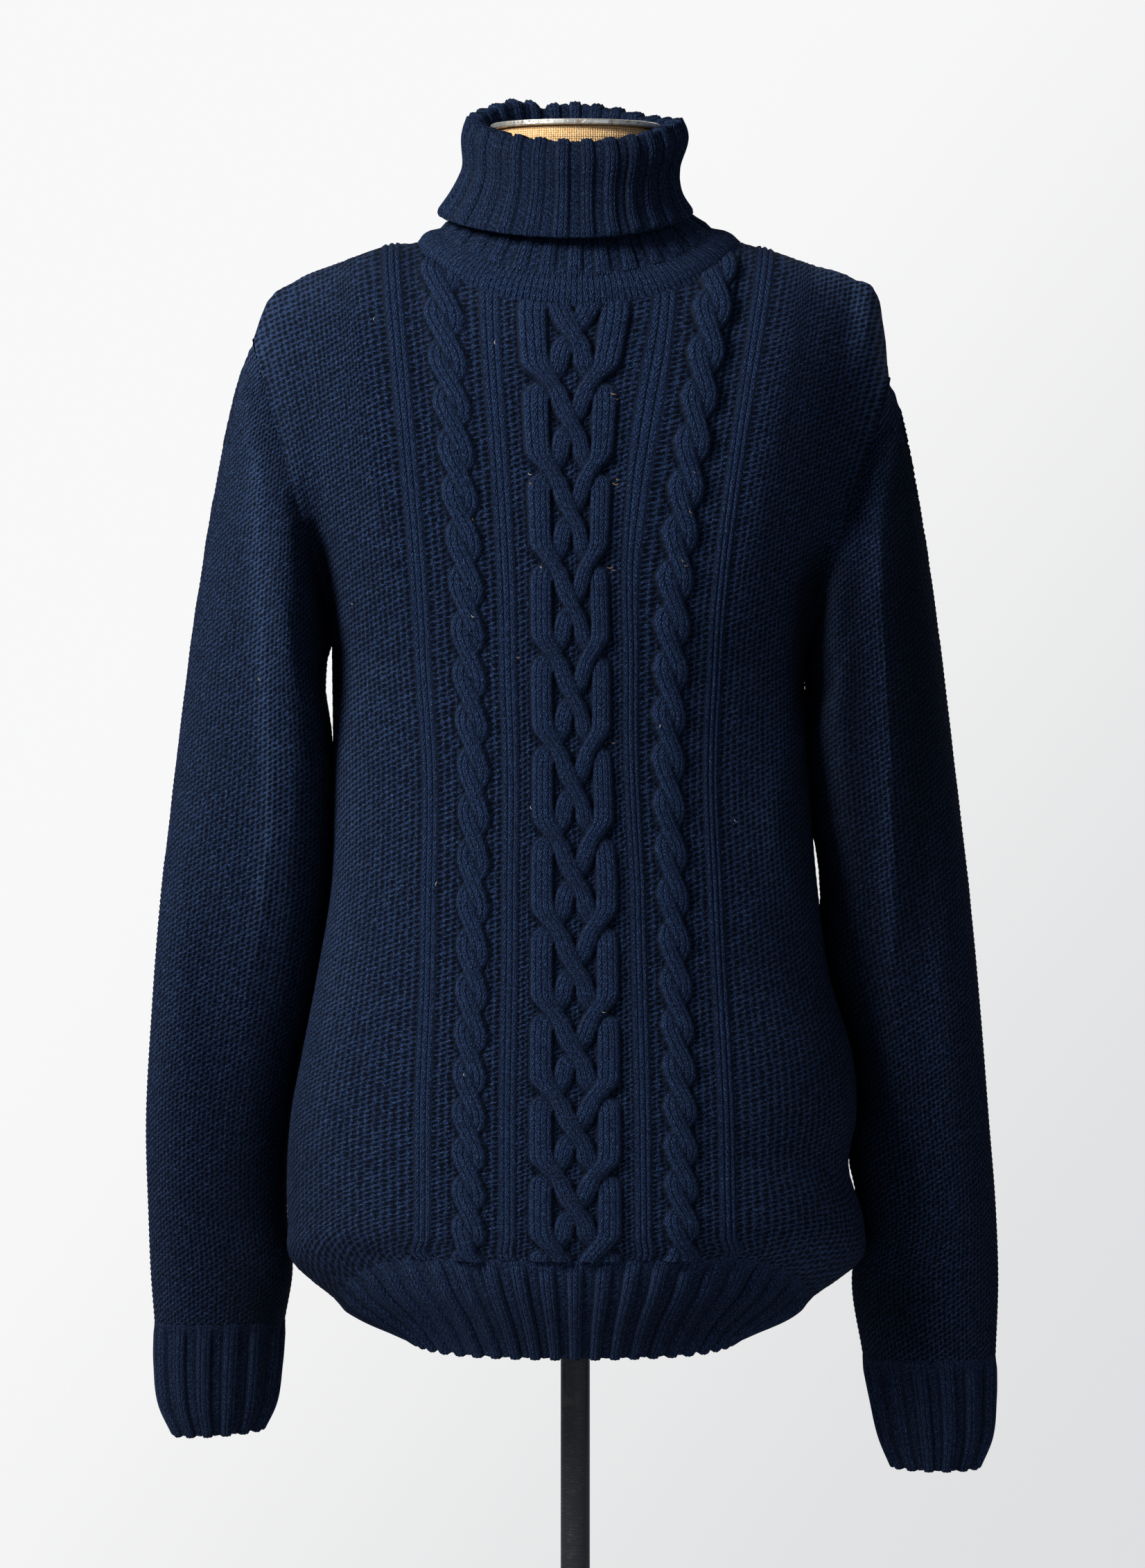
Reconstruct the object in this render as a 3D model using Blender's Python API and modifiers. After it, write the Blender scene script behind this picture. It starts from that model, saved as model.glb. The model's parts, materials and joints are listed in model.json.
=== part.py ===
"""Turtleneck sweater in aran cable knit, worn by a limbless dress form on a pole stand.

Metres, +Z up, front at -Y. Left and right are as seen from the front. The origin is the
middle of the base's underside. Every piece of cloth is a grid of points on the outer face
of the knit. Neighbouring pieces share the points of their seam and the direction of the
wall there, so that their walls meet face to face with a small gap.
"""
import math
from collections import namedtuple

import bmesh
import bpy
import numpy as np

# ---------------------------------------------------------------- driving dimensions
KNIT_WALL = 0.003          # thickness of the knit
SEAM_GAP = 0.0003          # between the pieces at a seam
SECTION_FULLNESS = 0.75    # under 1 squares the round of the body's sections
SEAM_DIP = 8               # the higher, the closer to the side seam a ring leaves its level
YOKE_ROWS = 10             # rows of faces up each armhole, and half of the sleeve's ring

POLE_RADIUS = 0.0095
BASE_RADIUS = 0.165
BASE_THICKNESS = 0.010
BASE_EDGE = 0.003
FORM_BOTTOM = 0.352
FORM_TOP = 1.0852
NECK_PLATE_RADIUS = 0.055
NECK_PLATE_THICKNESS = 0.0036
NECK_PLATE_EDGE = 0.0008
PART_GAP = 0.0003          # between hard pieces that rest on each other

# Rings of the body, from the hem up to the underarm. z is the height in the middle of the
# front and back, left_z and right_z at the side seams. The next four are distances from the
# axis. spread is how far the cable bands stand apart there, against the flat cloth.
BodyRing = namedtuple("BodyRing", "name z left_z right_z left right front back spread")
BODY_RINGS = [
    BodyRing("hem edge",  0.3000, 0.3030, 0.3030, 0.1050, 0.1030, 0.1150, 0.1080, 0.00),
    BodyRing("rib lower", 0.3190, 0.3080, 0.3080, 0.1180, 0.1160, 0.1225, 0.1150, 0.00),
    BodyRing("rib upper", 0.3410, 0.3165, 0.3170, 0.1390, 0.1380, 0.1285, 0.1205, 0.00),
    BodyRing("rib top",   0.3630, 0.3285, 0.3295, 0.1575, 0.1555, 0.1320, 0.1240, 1.03),
    BodyRing("roll",      0.3770, 0.3500, 0.3500, 0.1825, 0.1830, 0.1350, 0.1265, 1.04),
    BodyRing("belly",     0.3980, 0.3780, 0.3760, 0.1865, 0.1875, 0.1360, 0.1275, 1.04),
    BodyRing("tuck",      0.4230, 0.4120, 0.4120, 0.1870, 0.1775, 0.1350, 0.1260, 1.04),
    BodyRing("over tuck", 0.4520, 0.4470, 0.4470, 0.1845, 0.1825, 0.1325, 0.1230, 1.04),
    BodyRing("hip",       0.4880, 0.4850, 0.4850, 0.1775, 0.1800, 0.1285, 0.1180, 1.03),
    BodyRing("waist low", 0.5350, 0.5350, 0.5350, 0.1680, 0.1655, 0.1240, 0.1110, 1.01),
    BodyRing("waist",     0.5950, 0.5950, 0.5950, 0.1585, 0.1570, 0.1200, 0.1040, 1.00),
    BodyRing("ribcage",   0.6650, 0.6680, 0.6600, 0.1570, 0.1520, 0.1190, 0.1040, 0.99),
    BodyRing("underarm",  0.7420, 0.7500, 0.7300, 0.1580, 0.1485, 0.1195, 0.1080, 1.04),
]
RIB_TOP = 3                # index of the ring where the hem rib meets the body

# Columns of the front, from the middle to the side. flat is the distance from the middle
# line on the flat cloth, top says where the column ends: 0 to 1 along half the neckline,
# 1 to 2 along the shoulder seam. height is how far the cable bands stand proud.
Column = namedtuple("Column", "name flat top height")
FRONT_COLUMNS = [
    Column("middle",         0.0000, 0.00, 0.0035),
    Column("braid strand",   0.0145, 0.19, 0.0045),
    Column("braid edge",     0.0255, 0.33, 0.0040),
    Column("braid foot",     0.0300, 0.39, 0.0000),
    Column("inner rib",      0.0414, 0.54, 0.0015),
    Column("rope foot",      0.0530, 0.69, 0.0000),
    Column("rope inner",     0.0580, 0.76, 0.0040),
    Column("rope outer",     0.0710, 0.93, 0.0040),
    Column("neck point",     0.0765, 1.00, 0.0000),
    Column("rib ground",     0.0845, 1.10, 0.0000),
    Column("outer rib",      0.0930, 1.22, 0.0015),
    Column("side ground",    0.1015, 1.34, 0.0000),
]
BACK_COLUMNS = [c for c in FRONT_COLUMNS if c.name in
                ("middle", "braid edge", "rope foot", "rope outer", "neck point",
                 "rib ground", "outer rib", "side ground")]
# Columns between the side ground and the side seam, as shares of that stretch.
SideColumn = namedtuple("SideColumn", "share top")
SIDE_COLUMNS = [SideColumn(0.36, 1.55), SideColumn(0.66, 1.75),
                SideColumn(0.87, 1.90), SideColumn(1.00, 2.00)]

# The shoulder seam, from the neck point to the top of the armhole.
ShoulderPoint = namedtuple("ShoulderPoint", "top left left_z right right_z")
SHOULDER = [
    ShoulderPoint(1.00, 0.1020, 1.0130, 0.1070, 1.0130),
    ShoulderPoint(1.34, 0.1300, 1.0085, 0.1330, 1.0055),
    ShoulderPoint(1.55, 0.1550, 0.9990, 0.1550, 0.9980),
    ShoulderPoint(1.75, 0.1805, 0.9885, 0.1790, 0.9900),
    ShoulderPoint(1.90, 0.2000, 0.9740, 0.1975, 0.9740),
    ShoulderPoint(2.00, 0.2085, 0.9510, 0.2036, 0.9260),
]

# How a column of the yoke leaves the underarm ring and how it reaches its top: out is away
# from the middle, low_forward is towards the panel's own face, high_depth is how far the
# column still stands from the axis just under its top.
YokeHandle = namedtuple("YokeHandle", "top low_out low_forward low_up high_out high_depth high_down")
YOKE_HANDLES = [
    YokeHandle(0.00,  0.000, 0.002, 0.095,  0.000, 0.106, 0.052),
    YokeHandle(0.50,  0.000, 0.004, 0.095,  0.000, 0.105, 0.046),
    YokeHandle(1.00,  0.002, 0.012, 0.092,  0.000, 0.098, 0.020),
    YokeHandle(1.50,  0.002, 0.030, 0.082,  0.002, 0.090, 0.008),
    YokeHandle(2.00, -0.005, 0.060, 0.018, -0.012, 0.062, 0.052),
]

# Rings of the neck, from the neckline seam up inside the fold, over the rim and down the
# turnover. The heights are in the middle of the front, at the sides and behind.
NeckRing = namedtuple("NeckRing", "name left right front back front_z side_z back_z")
NECK_RINGS = [
    NeckRing("neckline",       0.1020, 0.1070, 0.0880, 0.0620, 0.9670, 1.0130, 1.0070),
    NeckRing("neckband rise",  0.0960, 0.0990, 0.0850, 0.0610, 0.9765, 1.0180, 1.0140),
    NeckRing("neckband top",   0.0870, 0.0880, 0.0810, 0.0605, 0.9870, 1.0220, 1.0220),
    NeckRing("stand flare",    0.0750, 0.0750, 0.0740, 0.0600, 1.0040, 1.0305, 1.0350),
    NeckRing("stand waist",    0.0660, 0.0655, 0.0665, 0.0610, 1.0230, 1.0440, 1.0520),
    NeckRing("stand",          0.0620, 0.0610, 0.0630, 0.0620, 1.0430, 1.0620, 1.0750),
    NeckRing("inner rim",      0.0630, 0.0620, 0.0635, 0.0630, 1.0620, 1.0825, 1.0965),
    NeckRing("rim",            0.0675, 0.0665, 0.0685, 0.0680, 1.0720, 1.0910, 1.1075),
    NeckRing("outer rim",      0.0715, 0.0710, 0.0730, 0.0730, 1.0650, 1.0850, 1.1015),
    NeckRing("turnover",       0.0725, 0.0660, 0.0755, 0.0755, 1.0420, 1.0610, 1.0780),
    NeckRing("turnover flare", 0.0795, 0.0672, 0.0785, 0.0780, 1.0240, 1.0430, 1.0570),
    NeckRing("turnover edge",  0.0875, 0.0745, 0.0815, 0.0800, 1.0105, 1.0300, 1.0420),
]
NECKBAND_TOP = 2           # index of the ring where the neckband meets the collar

# Rings of the sleeves and cuffs. The outer point is furthest from the body, the inner point
# nearest to it. front and back are how far the ring reaches from the side seam's plane.
# An edge over 1 sharpens the ring in front and behind.
SleeveRing = namedtuple("SleeveRing", "name outer outer_z inner inner_z front back edge")
LEFT_SLEEVE = [
    SleeveRing("cap",          0.2178, 0.9260, 0.1635, 0.7220, 0.0540, 0.0540, 1.05),
    SleeveRing("upper arm",    0.2265, 0.8910, 0.1625, 0.6960, 0.0600, 0.0610, 1.15),
    SleeveRing("biceps",       0.2378, 0.8311, 0.1612, 0.6639, 0.0590, 0.0690, 1.20),
    SleeveRing("low biceps",   0.2488, 0.7620, 0.1609, 0.6297, 0.0530, 0.0740, 1.20),
    SleeveRing("over elbow",   0.2592, 0.6818, 0.1626, 0.5894, 0.0440, 0.0780, 1.15),
    SleeveRing("elbow",        0.2695, 0.5972, 0.1684, 0.5439, 0.0320, 0.0830, 1.05),
    SleeveRing("forearm",      0.2764, 0.5114, 0.1777, 0.4902, 0.0220, 0.0850, 1.00),
    SleeveRing("mid forearm",  0.2801, 0.4407, 0.1869, 0.4357, 0.0150, 0.0830, 1.00),
    SleeveRing("low forearm",  0.2786, 0.3802, 0.1889, 0.3792, 0.0100, 0.0790, 1.00),
    SleeveRing("wrist",        0.2771, 0.3419, 0.1854, 0.3419, 0.0080, 0.0770, 1.00),
    SleeveRing("cuff top",     0.2747, 0.3109, 0.1903, 0.3104, 0.0080, 0.0720, 1.00),
]
LEFT_CUFF = [
    SleeveRing("cuff middle",  0.2746, 0.2819, 0.1928, 0.2819, 0.0080, 0.0680, 1.00),
    SleeveRing("cuff low",     0.2709, 0.2529, 0.1972, 0.2539, 0.0060, 0.0630, 1.00),
    SleeveRing("cuff edge",    0.2631, 0.2364, 0.2042, 0.2394, 0.0020, 0.0570, 1.00),
]
RIGHT_SLEEVE = [
    SleeveRing("cap",          0.2112, 0.9040, 0.1535, 0.7030, 0.0540, 0.0540, 1.05),
    SleeveRing("upper arm",    0.2188, 0.8700, 0.1540, 0.6780, 0.0600, 0.0610, 1.15),
    SleeveRing("biceps",       0.2283, 0.8151, 0.1557, 0.6499, 0.0590, 0.0690, 1.20),
    SleeveRing("low biceps",   0.2381, 0.7460, 0.1584, 0.6177, 0.0530, 0.0740, 1.20),
    SleeveRing("over elbow",   0.2469, 0.6747, 0.1606, 0.5844, 0.0440, 0.0780, 1.15),
    SleeveRing("elbow",        0.2569, 0.5941, 0.1659, 0.5439, 0.0320, 0.0830, 1.05),
    SleeveRing("forearm",      0.2653, 0.5073, 0.1792, 0.4902, 0.0220, 0.0850, 1.00),
    SleeveRing("mid forearm",  0.2705, 0.4427, 0.1839, 0.4377, 0.0150, 0.0830, 1.00),
    SleeveRing("low forearm",  0.2751, 0.3852, 0.1899, 0.3832, 0.0100, 0.0790, 1.00),
    SleeveRing("wrist",        0.2769, 0.3369, 0.1814, 0.3369, 0.0080, 0.0770, 1.00),
    SleeveRing("cuff top",     0.2751, 0.2868, 0.1885, 0.2868, 0.0080, 0.0720, 1.00),
]
RIGHT_CUFF = [
    SleeveRing("cuff middle",  0.2748, 0.2588, 0.1938, 0.2588, 0.0080, 0.0680, 1.00),
    SleeveRing("cuff low",     0.2717, 0.2308, 0.2003, 0.2313, 0.0060, 0.0630, 1.00),
    SleeveRing("cuff edge",    0.2646, 0.2143, 0.2073, 0.2148, 0.0020, 0.0570, 1.00),
]

# Rings of the dress form. A pinch over 1 thins the section towards its sides, as where the
# shoulders run into the neck.
FormRing = namedtuple("FormRing", "name z half front back pinch")
FORM_RINGS = [
    FormRing("bottom",     FORM_BOTTOM, 0.112, 0.080, 0.078, 0.90),
    FormRing("bottom edge", 0.360, 0.124, 0.090, 0.088, 0.90),
    FormRing("hip low",    0.385, 0.136, 0.099, 0.096, 0.90),
    FormRing("hip",        0.440, 0.142, 0.104, 0.101, 0.90),
    FormRing("high hip",   0.520, 0.137, 0.101, 0.094, 0.90),
    FormRing("waist",      0.610, 0.124, 0.094, 0.083, 0.90),
    FormRing("ribcage",    0.700, 0.132, 0.104, 0.090, 0.90),
    FormRing("chest",      0.790, 0.142, 0.112, 0.097, 0.90),
    FormRing("high chest", 0.860, 0.150, 0.107, 0.098, 0.95),
    FormRing("yoke",       0.912, 0.164, 0.094, 0.090, 1.10),
    FormRing("shoulder low", 0.947, 0.176, 0.079, 0.080, 1.45),
    FormRing("shoulder",   0.970, 0.173, 0.067, 0.070, 1.90),
    FormRing("shoulder top", 0.987, 0.154, 0.059, 0.061, 2.30),
    FormRing("trapezius",  1.000, 0.118, 0.056, 0.056, 2.40),
    FormRing("neck root",  1.0095, 0.084, 0.0555, 0.055, 1.70),
    FormRing("neck low",   1.023, 0.063, 0.0545, 0.0545, 1.15),
    FormRing("neck",       1.048, 0.0545, 0.0535, 0.0535, 1.00),
    FormRing("neck edge",  1.079, 0.0535, 0.0535, 0.0535, 1.00),
    FormRing("neck top",   FORM_TOP, 0.0500, 0.0500, 0.0500, 1.00),
]
FORM_SIDES = 40

# ---------------------------------------------------------------- materials
Finish = namedtuple("Finish", "name color roughness metallic")
NAVY_KNIT = Finish("navy_wool_knit", (0.013, 0.030, 0.085, 1), 0.92, 0.0)
LINEN = Finish("natural_linen", (0.52, 0.40, 0.27, 1), 0.85, 0.0)
WORN_CHROME = Finish("worn_chrome", (0.62, 0.60, 0.57, 1), 0.28, 1.0)
BLACK_PAINT = Finish("black_satin_paint", (0.010, 0.010, 0.011, 1), 0.38, 0.0)


def material(finish):
    """The named material, made once."""
    found = bpy.data.materials.get(finish.name)
    if found:
        return found
    made = bpy.data.materials.new(finish.name)
    made.use_nodes = True
    shader = made.node_tree.nodes["Principled BSDF"]
    shader.inputs["Base Color"].default_value = finish.color
    shader.inputs["Roughness"].default_value = finish.roughness
    shader.inputs["Metallic"].default_value = finish.metallic
    made.diffuse_color = finish.color
    return made


# ---------------------------------------------------------------- curves and tables
def through(stations, values, at):
    """A smooth curve through the values at the stations, read at other stations."""
    stations = np.asarray(stations, float)
    values = np.asarray(values, float)
    at = np.clip(np.asarray(at, float), stations[0], stations[-1])
    slopes = np.gradient(values, stations)
    k = np.clip(np.searchsorted(stations, at, side="right") - 1, 0, len(stations) - 2)
    step = stations[k + 1] - stations[k]
    t = (at - stations[k]) / step
    return ((2 * t**3 - 3 * t**2 + 1) * values[k] + (t**3 - 2 * t**2 + t) * step * slopes[k]
            + (3 * t**2 - 2 * t**3) * values[k + 1] + (t**3 - t**2) * step * slopes[k + 1])


def read(table, key, column, at):
    """One column of a table, read smoothly along its key column."""
    return through([getattr(row, key) for row in table],
                   [getattr(row, column) for row in table], at)


def section_point(ring, angle, side, depth):
    """A point of a body ring. angle runs from 0 in the middle to a quarter turn at the seam.

    side is -1 for the left and 1 for the right, depth is -1 for the front and 1 for the back.
    """
    half = ring.left if side < 0 else ring.right
    seam_z = ring.left_z if side < 0 else ring.right_z
    reach = ring.front if depth < 0 else ring.back
    across = math.sin(angle)
    return np.array([side * half * across,
                     depth * reach * max(math.cos(angle), 0.0) ** SECTION_FULLNESS,
                     ring.z + (seam_z - ring.z) * across ** SEAM_DIP])


def half_columns(columns):
    """Angle rule, top place and relief of each column, from the middle to the side seam."""
    made = [(("flat", c.flat), c.top, c.height) for c in columns]
    made += [(("share", s.share), s.top, 0.0) for s in SIDE_COLUMNS]
    return made


def column_angle(rule, ring, side):
    """The angle at which a column crosses a body ring. The rib gathers all columns alike."""
    if BODY_RINGS.index(ring) < RIB_TOP:
        ring = BODY_RINGS[RIB_TOP]
    half = ring.left if side < 0 else ring.right
    kind, value = rule
    if kind == "flat":
        return math.asin(value * ring.spread / half)
    last_band = math.asin(FRONT_COLUMNS[-1].flat * ring.spread / half)
    return last_band + (math.pi / 2 - last_band) * value


def top_point(top, side, depth):
    """A point on the neckline (top up to 1) or on the shoulder seam (1 to 2)."""
    if top <= 1.0:
        return neck_point(NECK_RINGS[0], math.asin(top), side, depth)
    name = "left" if side < 0 else "right"
    return np.array([side * float(read(SHOULDER, "top", name, top)), 0.0,
                     float(read(SHOULDER, "top", name + "_z", top))])


def neck_point(ring, angle, side, depth):
    """A point of a neck ring, angle 0 in the middle and a quarter turn at the side."""
    half = ring.left if side < 0 else ring.right
    reach, far_z = (ring.front, ring.front_z) if depth < 0 else (ring.back, ring.back_z)
    along = max(math.cos(angle), 0.0)
    return np.array([side * half * math.sin(angle), depth * reach * along,
                     ring.side_z + (far_z - ring.side_z) * along ** 1.3])


def yoke_column(rule, top, side, depth):
    """The points of one column from the underarm ring up to its top."""
    ring = BODY_RINGS[-1]
    low = section_point(ring, column_angle(rule, ring, side), side, depth)
    high = top_point(top, side, depth)
    handle = {name: float(read(YOKE_HANDLES, "top", name, top)) for name in YokeHandle._fields[1:]}
    low_handle = low + (side * handle["low_out"], depth * handle["low_forward"], handle["low_up"])
    high_handle = np.array([high[0] + side * handle["high_out"], depth * handle["high_depth"],
                            high[2] - handle["high_down"]])
    t = np.linspace(0.0, 1.0, YOKE_ROWS + 1)[:, None]
    return ((1 - t)**3 * low + 3 * (1 - t)**2 * t * low_handle
            + 3 * (1 - t) * t**2 * high_handle + t**3 * high)


def both_halves(columns, depth):
    """Columns across a whole panel, so that the faces look away from the body."""
    half = half_columns(columns)
    left = [(rule, top, height, -1) for rule, top, height in reversed(half)]
    right = [(rule, top, height, 1) for rule, top, height in half[1:]]
    across = left + right
    return across if depth < 0 else across[::-1]


# ---------------------------------------------------------------- grids of the cloth
def body_grid(columns, depth):
    """The front or back panel from the top of the rib to the neckline and shoulders."""
    across = both_halves(columns, depth)
    grid = []
    for rule, top, _, side in across:
        lower = [section_point(ring, column_angle(rule, ring, side), side, depth)
                 for ring in BODY_RINGS[RIB_TOP:-1]]
        grid.append(np.vstack([lower, yoke_column(rule, top, side, depth)]))
    return np.array(grid).transpose(1, 0, 2)


def hem_grid(columns, depth):
    """Half of the hem rib, from its edge up to the body."""
    rings = BODY_RINGS[:RIB_TOP + 1]
    return np.array([[section_point(ring, column_angle(rule, ring, side), side, depth)
                      for rule, _, _, side in both_halves(columns, depth)] for ring in rings])


def sleeve_ring(row, side):
    """One ring of a sleeve: from the inner point over the front to the outer one and back."""
    middle_y, half_depth = (row.back - row.front) / 2, (row.back + row.front) / 2
    inner = np.array([side * row.inner, middle_y, row.inner_z])
    outer = np.array([side * row.outer, middle_y, row.outer_z])
    points = []
    for k in range(2 * YOKE_ROWS):
        turn = math.pi * k / YOKE_ROWS
        forward = half_depth * math.copysign(abs(math.sin(turn)) ** row.edge, math.sin(turn))
        points.append((inner + outer) / 2 - (outer - inner) / 2 * math.cos(turn)
                      - np.array([0.0, forward, 0.0]))
    return points


def armhole_ring(front, back, side):
    """The armhole's seam points, in the order of a sleeve ring."""
    first = front[-YOKE_ROWS - 1:, 0 if side < 0 else -1]
    second = back[-YOKE_ROWS - 1:, -1 if side < 0 else 0]
    return list(first) + list(second[::-1][1:-1])


def neck_ring(row, front_tops, back_tops):
    """One ring of the neck, with its points above those of the neckline seam."""
    points = [neck_point(row, math.asin(min(abs(top), 1.0)), -1 if top < 0 else 1, -1)
              for top in front_tops]
    points += [neck_point(row, math.asin(min(abs(top), 1.0)), -1 if top < 0 else 1, 1)
               for top in back_tops[1:-1]]
    return points


def neckline_tops(columns):
    """Signed places along the neckline, left to right."""
    half = [c.top for c in columns if c.top <= 1.0]
    return [-top for top in reversed(half)] + half[1:]


def facing_out(ring_grid):
    """A tube's grid with its columns turned so that the faces look out."""
    middle = ring_grid.mean(axis=1, keepdims=True)
    across = np.roll(ring_grid, -1, axis=1)[:-1] - ring_grid[:-1]
    up = ring_grid[1:] - ring_grid[:-1]
    away = ring_grid[:-1] - middle[:-1]
    score = np.sum(np.cross(across, up) * away)
    return ring_grid if score > 0 else ring_grid[:, ::-1]


# ---------------------------------------------------------------- walls
Piece = namedtuple("Piece", "grid wraps part_of")


def corner_normals(grid, wraps):
    """Sum of the neighbouring faces' normals at each point of a grid."""
    closed = np.concatenate([grid, grid[:, :1]], axis=1) if wraps else grid
    across = closed[:, 1:] - closed[:, :-1]
    up = closed[1:] - closed[:-1]
    total = np.zeros_like(closed)
    for rows, cols, a, b in ((slice(0, -1), slice(0, -1), across[:-1], up[:, :-1]),
                             (slice(0, -1), slice(1, None), across[:-1], up[:, 1:]),
                             (slice(1, None), slice(0, -1), across[1:], up[:, :-1]),
                             (slice(1, None), slice(1, None), across[1:], up[:, 1:])):
        total[rows, cols] += np.cross(a, b)
    if wraps:
        total[:, 0] += total[:, -1]
        total = total[:, :-1]
    return total


def seam_key(point):
    return tuple(np.round(point, 6))


def shared_normals(pieces):
    """The direction of the wall at every point, shared by the pieces that meet there.

    Where parts of the sweater meet at an angle, as sleeve and body do, each part counts once.
    """
    by_part = {}
    for piece in pieces.values():
        normals = corner_normals(piece.grid, piece.wraps)
        for point, normal in zip(piece.grid.reshape(-1, 3), normals.reshape(-1, 3)):
            parts = by_part.setdefault(seam_key(point), {})
            parts[piece.part_of] = parts.get(piece.part_of, 0) + normal
    total = {key: sum(normal / np.linalg.norm(normal) for normal in parts.values())
             for key, parts in by_part.items()}
    return {key: normal / np.linalg.norm(normal) for key, normal in total.items()}


def set_back(grid, wraps):
    """The grid with its free edges drawn in by half of the seam gap."""
    moved = grid.copy()
    edges = [((0,), (1,)), ((-1,), (-2,))]
    if not wraps:
        edges += [((slice(None), 0), (slice(None), 1)), ((slice(None), -1), (slice(None), -2))]
    for edge, inside in edges:
        step = grid[inside] - grid[edge]
        moved[edge] += step / np.linalg.norm(step, axis=-1, keepdims=True) * SEAM_GAP / 2
    return moved


def close_edge(mesh, out, into, keys):
    """Closes a wall along one edge, out to in, the same way for both pieces of a seam."""
    for a in range(len(out) - 1):
        b = a + 1
        if keys[a] < keys[b]:
            mesh.faces.new((out[a], into[a], into[b]))
            mesh.faces.new((out[a], into[b], out[b]))
        else:
            mesh.faces.new((out[a], into[a], out[b]))
            mesh.faces.new((into[a], into[b], out[b]))


def wall_mesh(name, seam, outer, inner, wraps):
    """One closed mesh between an outer and an inner grid of points. seam is the grid before
    its edges were set back, which tells the pieces of a seam how to split their edges."""
    rows, cols = outer.shape[:2]
    mesh = bmesh.new()
    out, into = [[[mesh.verts.new(point) for point in row] for row in grid]
                 for grid in (outer, inner)]
    keys = [[seam_key(point) for point in row] for row in seam]
    if wraps:
        out, into, keys = [[row + row[:1] for row in layer] for layer in (out, into, keys)]
    for r in range(rows - 1):
        for c in range(len(out[r]) - 1):
            mesh.faces.new((out[r][c], out[r][c + 1], out[r + 1][c + 1], out[r + 1][c]))
            mesh.faces.new((into[r][c], into[r + 1][c], into[r + 1][c + 1], into[r][c + 1]))
    close_edge(mesh, out[0], into[0], keys[0])
    close_edge(mesh, out[-1][::-1], into[-1][::-1], keys[-1][::-1])
    if not wraps:
        first, last = [[[row[c] for row in layer] for layer in (out, into, keys)]
                       for c in (0, -1)]
        close_edge(mesh, *[line[::-1] for line in first])
        close_edge(mesh, *last)
    made = bpy.data.meshes.new(name)
    mesh.to_mesh(made)
    mesh.free()
    made.shade_smooth()
    made.set_sharp_from_angle(angle=math.radians(50))
    return made


def add_cloth(name, piece, normals, relief=None):
    """A cloth piece: its grid on the outer face and a wall of knit behind it."""
    direction = np.array([[normals[seam_key(point)] for point in row] for row in piece.grid])
    outer = set_back(piece.grid, piece.wraps)
    if relief is not None:
        outer = outer + direction * relief[..., None]
    inner = outer - direction * KNIT_WALL
    add_object(name, wall_mesh(name, piece.grid, outer, inner, piece.wraps), NAVY_KNIT)


# ---------------------------------------------------------------- objects
def add_object(name, mesh, finish):
    """An object of the part's collection with its material."""
    made = bpy.data.objects.new(name, mesh)
    bpy.data.collections["sweater_on_dress_form"].objects.link(made)
    made.data.materials.append(material(finish))
    return made


def add_disc(name, radius, thickness, z, edge, finish, sides):
    """A flat round plate standing on height z, with rounded edges."""
    mesh = bmesh.new()
    bmesh.ops.create_cone(mesh, cap_ends=True, segments=sides, radius1=radius, radius2=radius,
                          depth=thickness)
    made = bpy.data.meshes.new(name)
    mesh.to_mesh(made)
    mesh.free()
    disc = add_object(name, made, finish)
    disc.location.z = z + thickness / 2
    if edge:
        bevel = disc.modifiers.new("rounded edge", "BEVEL")
        bevel.width = edge
        bevel.segments = 2
    return disc


def add_form():
    """The padded torso: one closed loft through its rings."""
    mesh = bmesh.new()
    rings = []
    for row in FORM_RINGS:
        ring = []
        for k in range(FORM_SIDES):
            turn = 2 * math.pi * k / FORM_SIDES
            reach = row.front if math.sin(turn) < 0 else row.back
            ring.append(mesh.verts.new((row.half * math.cos(turn),
                                        math.copysign(reach * abs(math.sin(turn)) ** row.pinch,
                                                      math.sin(turn)), row.z)))
        rings.append(ring)
    for low, high in zip(rings, rings[1:]):
        for k in range(FORM_SIDES):
            j = (k + 1) % FORM_SIDES
            mesh.faces.new((low[k], low[j], high[j], high[k]))
    mesh.faces.new(rings[0][::-1])
    mesh.faces.new(rings[-1])
    made = bpy.data.meshes.new("form_torso")
    mesh.to_mesh(made)
    mesh.free()
    made.shade_smooth()
    made.set_sharp_from_angle(angle=math.radians(40))
    add_object("form_torso", made, LINEN)


def add_stand():
    """The base on the floor, the pole on it, and the metal plate on the form's neck."""
    add_disc("base", BASE_RADIUS, BASE_THICKNESS, 0.0, BASE_EDGE, BLACK_PAINT, 64)
    pole_foot = BASE_THICKNESS + PART_GAP
    add_disc("pole", POLE_RADIUS, FORM_BOTTOM - PART_GAP - pole_foot, pole_foot, 0.0,
             BLACK_PAINT, 24)
    add_disc("neck_plate", NECK_PLATE_RADIUS, NECK_PLATE_THICKNESS, FORM_TOP + PART_GAP,
             NECK_PLATE_EDGE, WORN_CHROME, 48)


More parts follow.
